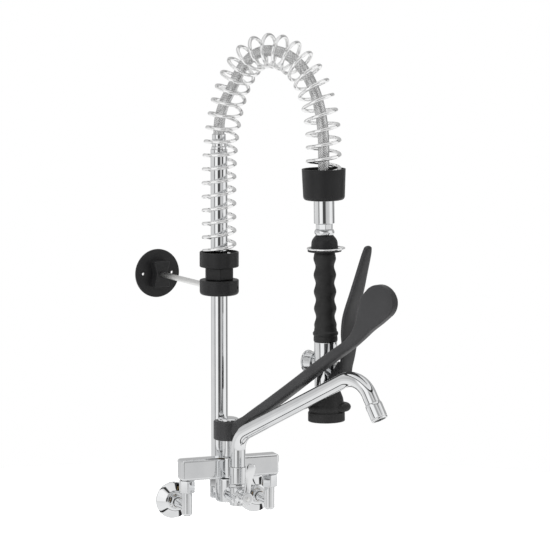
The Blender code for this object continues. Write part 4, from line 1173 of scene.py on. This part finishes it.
def make_trigger():
    # out from the spray's axis, distance down, slope from plumb, half thickness and half width
    shape = [
        (88.8, 128, 17, 4.0, 8.4),
        (86.9, 134.5, 17, 4.4, 10.0),
        (83.0, 147, 17.5, 4.6, 11.6),
        (75.0, 172, 17.5, 4.8, 14.0),
        (66.0, 200, 17.5, 5.0, 16.6),
        (52.0, 240, 14, 5.2, 18.4),
        (48.0, 268, 2, 5.2, 18.8),
        (48.8, 290, -4, 5.4, 18.4),
        (45.5, 312, -10, 5.6, 17.0),
        (41.5, 330, -8, 5.6, 15.2),
        (40.5, 342, -2, 5.4, 14.2),
    ]
    stations = []
    for out, down, slope, thick, wide in eased(shape, 8):
        angle = math.radians(slope)
        outward = X_AXIS * math.cos(angle) - Z_AXIS * math.sin(angle)
        stations.append((Vector((out, 0, -down)), outward, thick, wide))
    stations = rounded_end(stations[::-1], 5)[::-1]
    blade = place(loft(stations, Y_AXIS, 56, 3.4), on=SPRAY)
    upright = Matrix.Rotation(math.radians(90), 4, "X")
    for sign in (-1, 1):
        eye = arc((PIVOT_OUT, -PIVOT_DOWN), 8.5, 165, 330, 24)
        outline = [(40, -PIVOT_DOWN + 30), (34, -PIVOT_DOWN + 33), *eye]
        cheek = baked(bevel(extruded(outline, 3.4), 0.7, 3, 40))
        cheek.data.transform(upright)
        join(blade, place(cheek, (0, sign * 10.1, 0), on=SPRAY))
    cut(blade, place(drill(PIN_BORE, -20, 20, 32), (PIVOT_OUT, 0, -PIVOT_DOWN), Y_AXIS, on=SPRAY))
    stand_for(blade, "trigger", "sheen_painted_lever_plastic")


def make_bumper():
    top, bottom, face_seat = -BODY_END - GAP, -BUMPER_END, -411.5
    profile = [
        (19.4, top, 0.6),
        (22.5, -369, 2),
        (28.4, -384, 4),
        (29.3, -393, 1.0),
        (31.2, -398.5, 3.4),
        (29.2, -404, 1.0),
        (29.2, -406, 0.5),
        (30.8, -407, 0.8),
        (30.9, bottom, 1.5),
        (24, bottom, 0.8),
        (24, face_seat),
        (8, face_seat),
        (8, top),
    ]
    bumper = place(turned(profile), on=SPRAY)
    lug_turn, lug_down, lug_radius, steps = math.radians(36), 399, 6.5, 40
    out = Vector((math.cos(lug_turn), math.sin(lug_turn), 0))
    aside = Z_AXIS.cross(out)
    loop = []
    for i in range(steps + 1):
        angle = math.radians(-100 + 200 * i / steps)
        reach, width = 22 + 12.5 * math.cos(angle), 17 * math.sin(angle)
        loop.append(out * reach + aside * width - Z_AXIS * lug_down)
    join(bumper, place(sweep(loop, lug_radius, Z_AXIS, 32), on=SPRAY))
    cut(bumper, place(drill(7.9, -430, -360), on=SPRAY))
    stand_for(bumper, "rubber_bumper", "rubber")
    top, bottom = face_seat - GAP, -416
    face = place(turned([(0, top), (23.6, top), (23.6, bottom, 1.2), (0, bottom)]), on=SPRAY)
    for radius, count in ((7, 6), (14, 12)):
        for number in range(count):
            angle = 2 * math.pi * (number + 0.2) / count
            jet = drill(1.0, -425, -405, 16)
            cut(face, place(jet, (radius * math.cos(angle), radius * math.sin(angle), 0), on=SPRAY))
    stand_for(face, "spray_face", "chrome")


make_camera()
make_studio()
make_floor()
finish_kept_nodes()
for side, sign in (("left", -1), ("right", 1)):
    make_inlet(side, sign)
make_mixer()
make_lever()
make_manifold()
make_spout()
make_spout_valve()
make_riser()
make_spring()
make_hose()
make_bracket()
make_cup_and_fittings()
make_grip()
make_spray_valve()
make_plunger_spring()
make_trigger()
make_bumper()
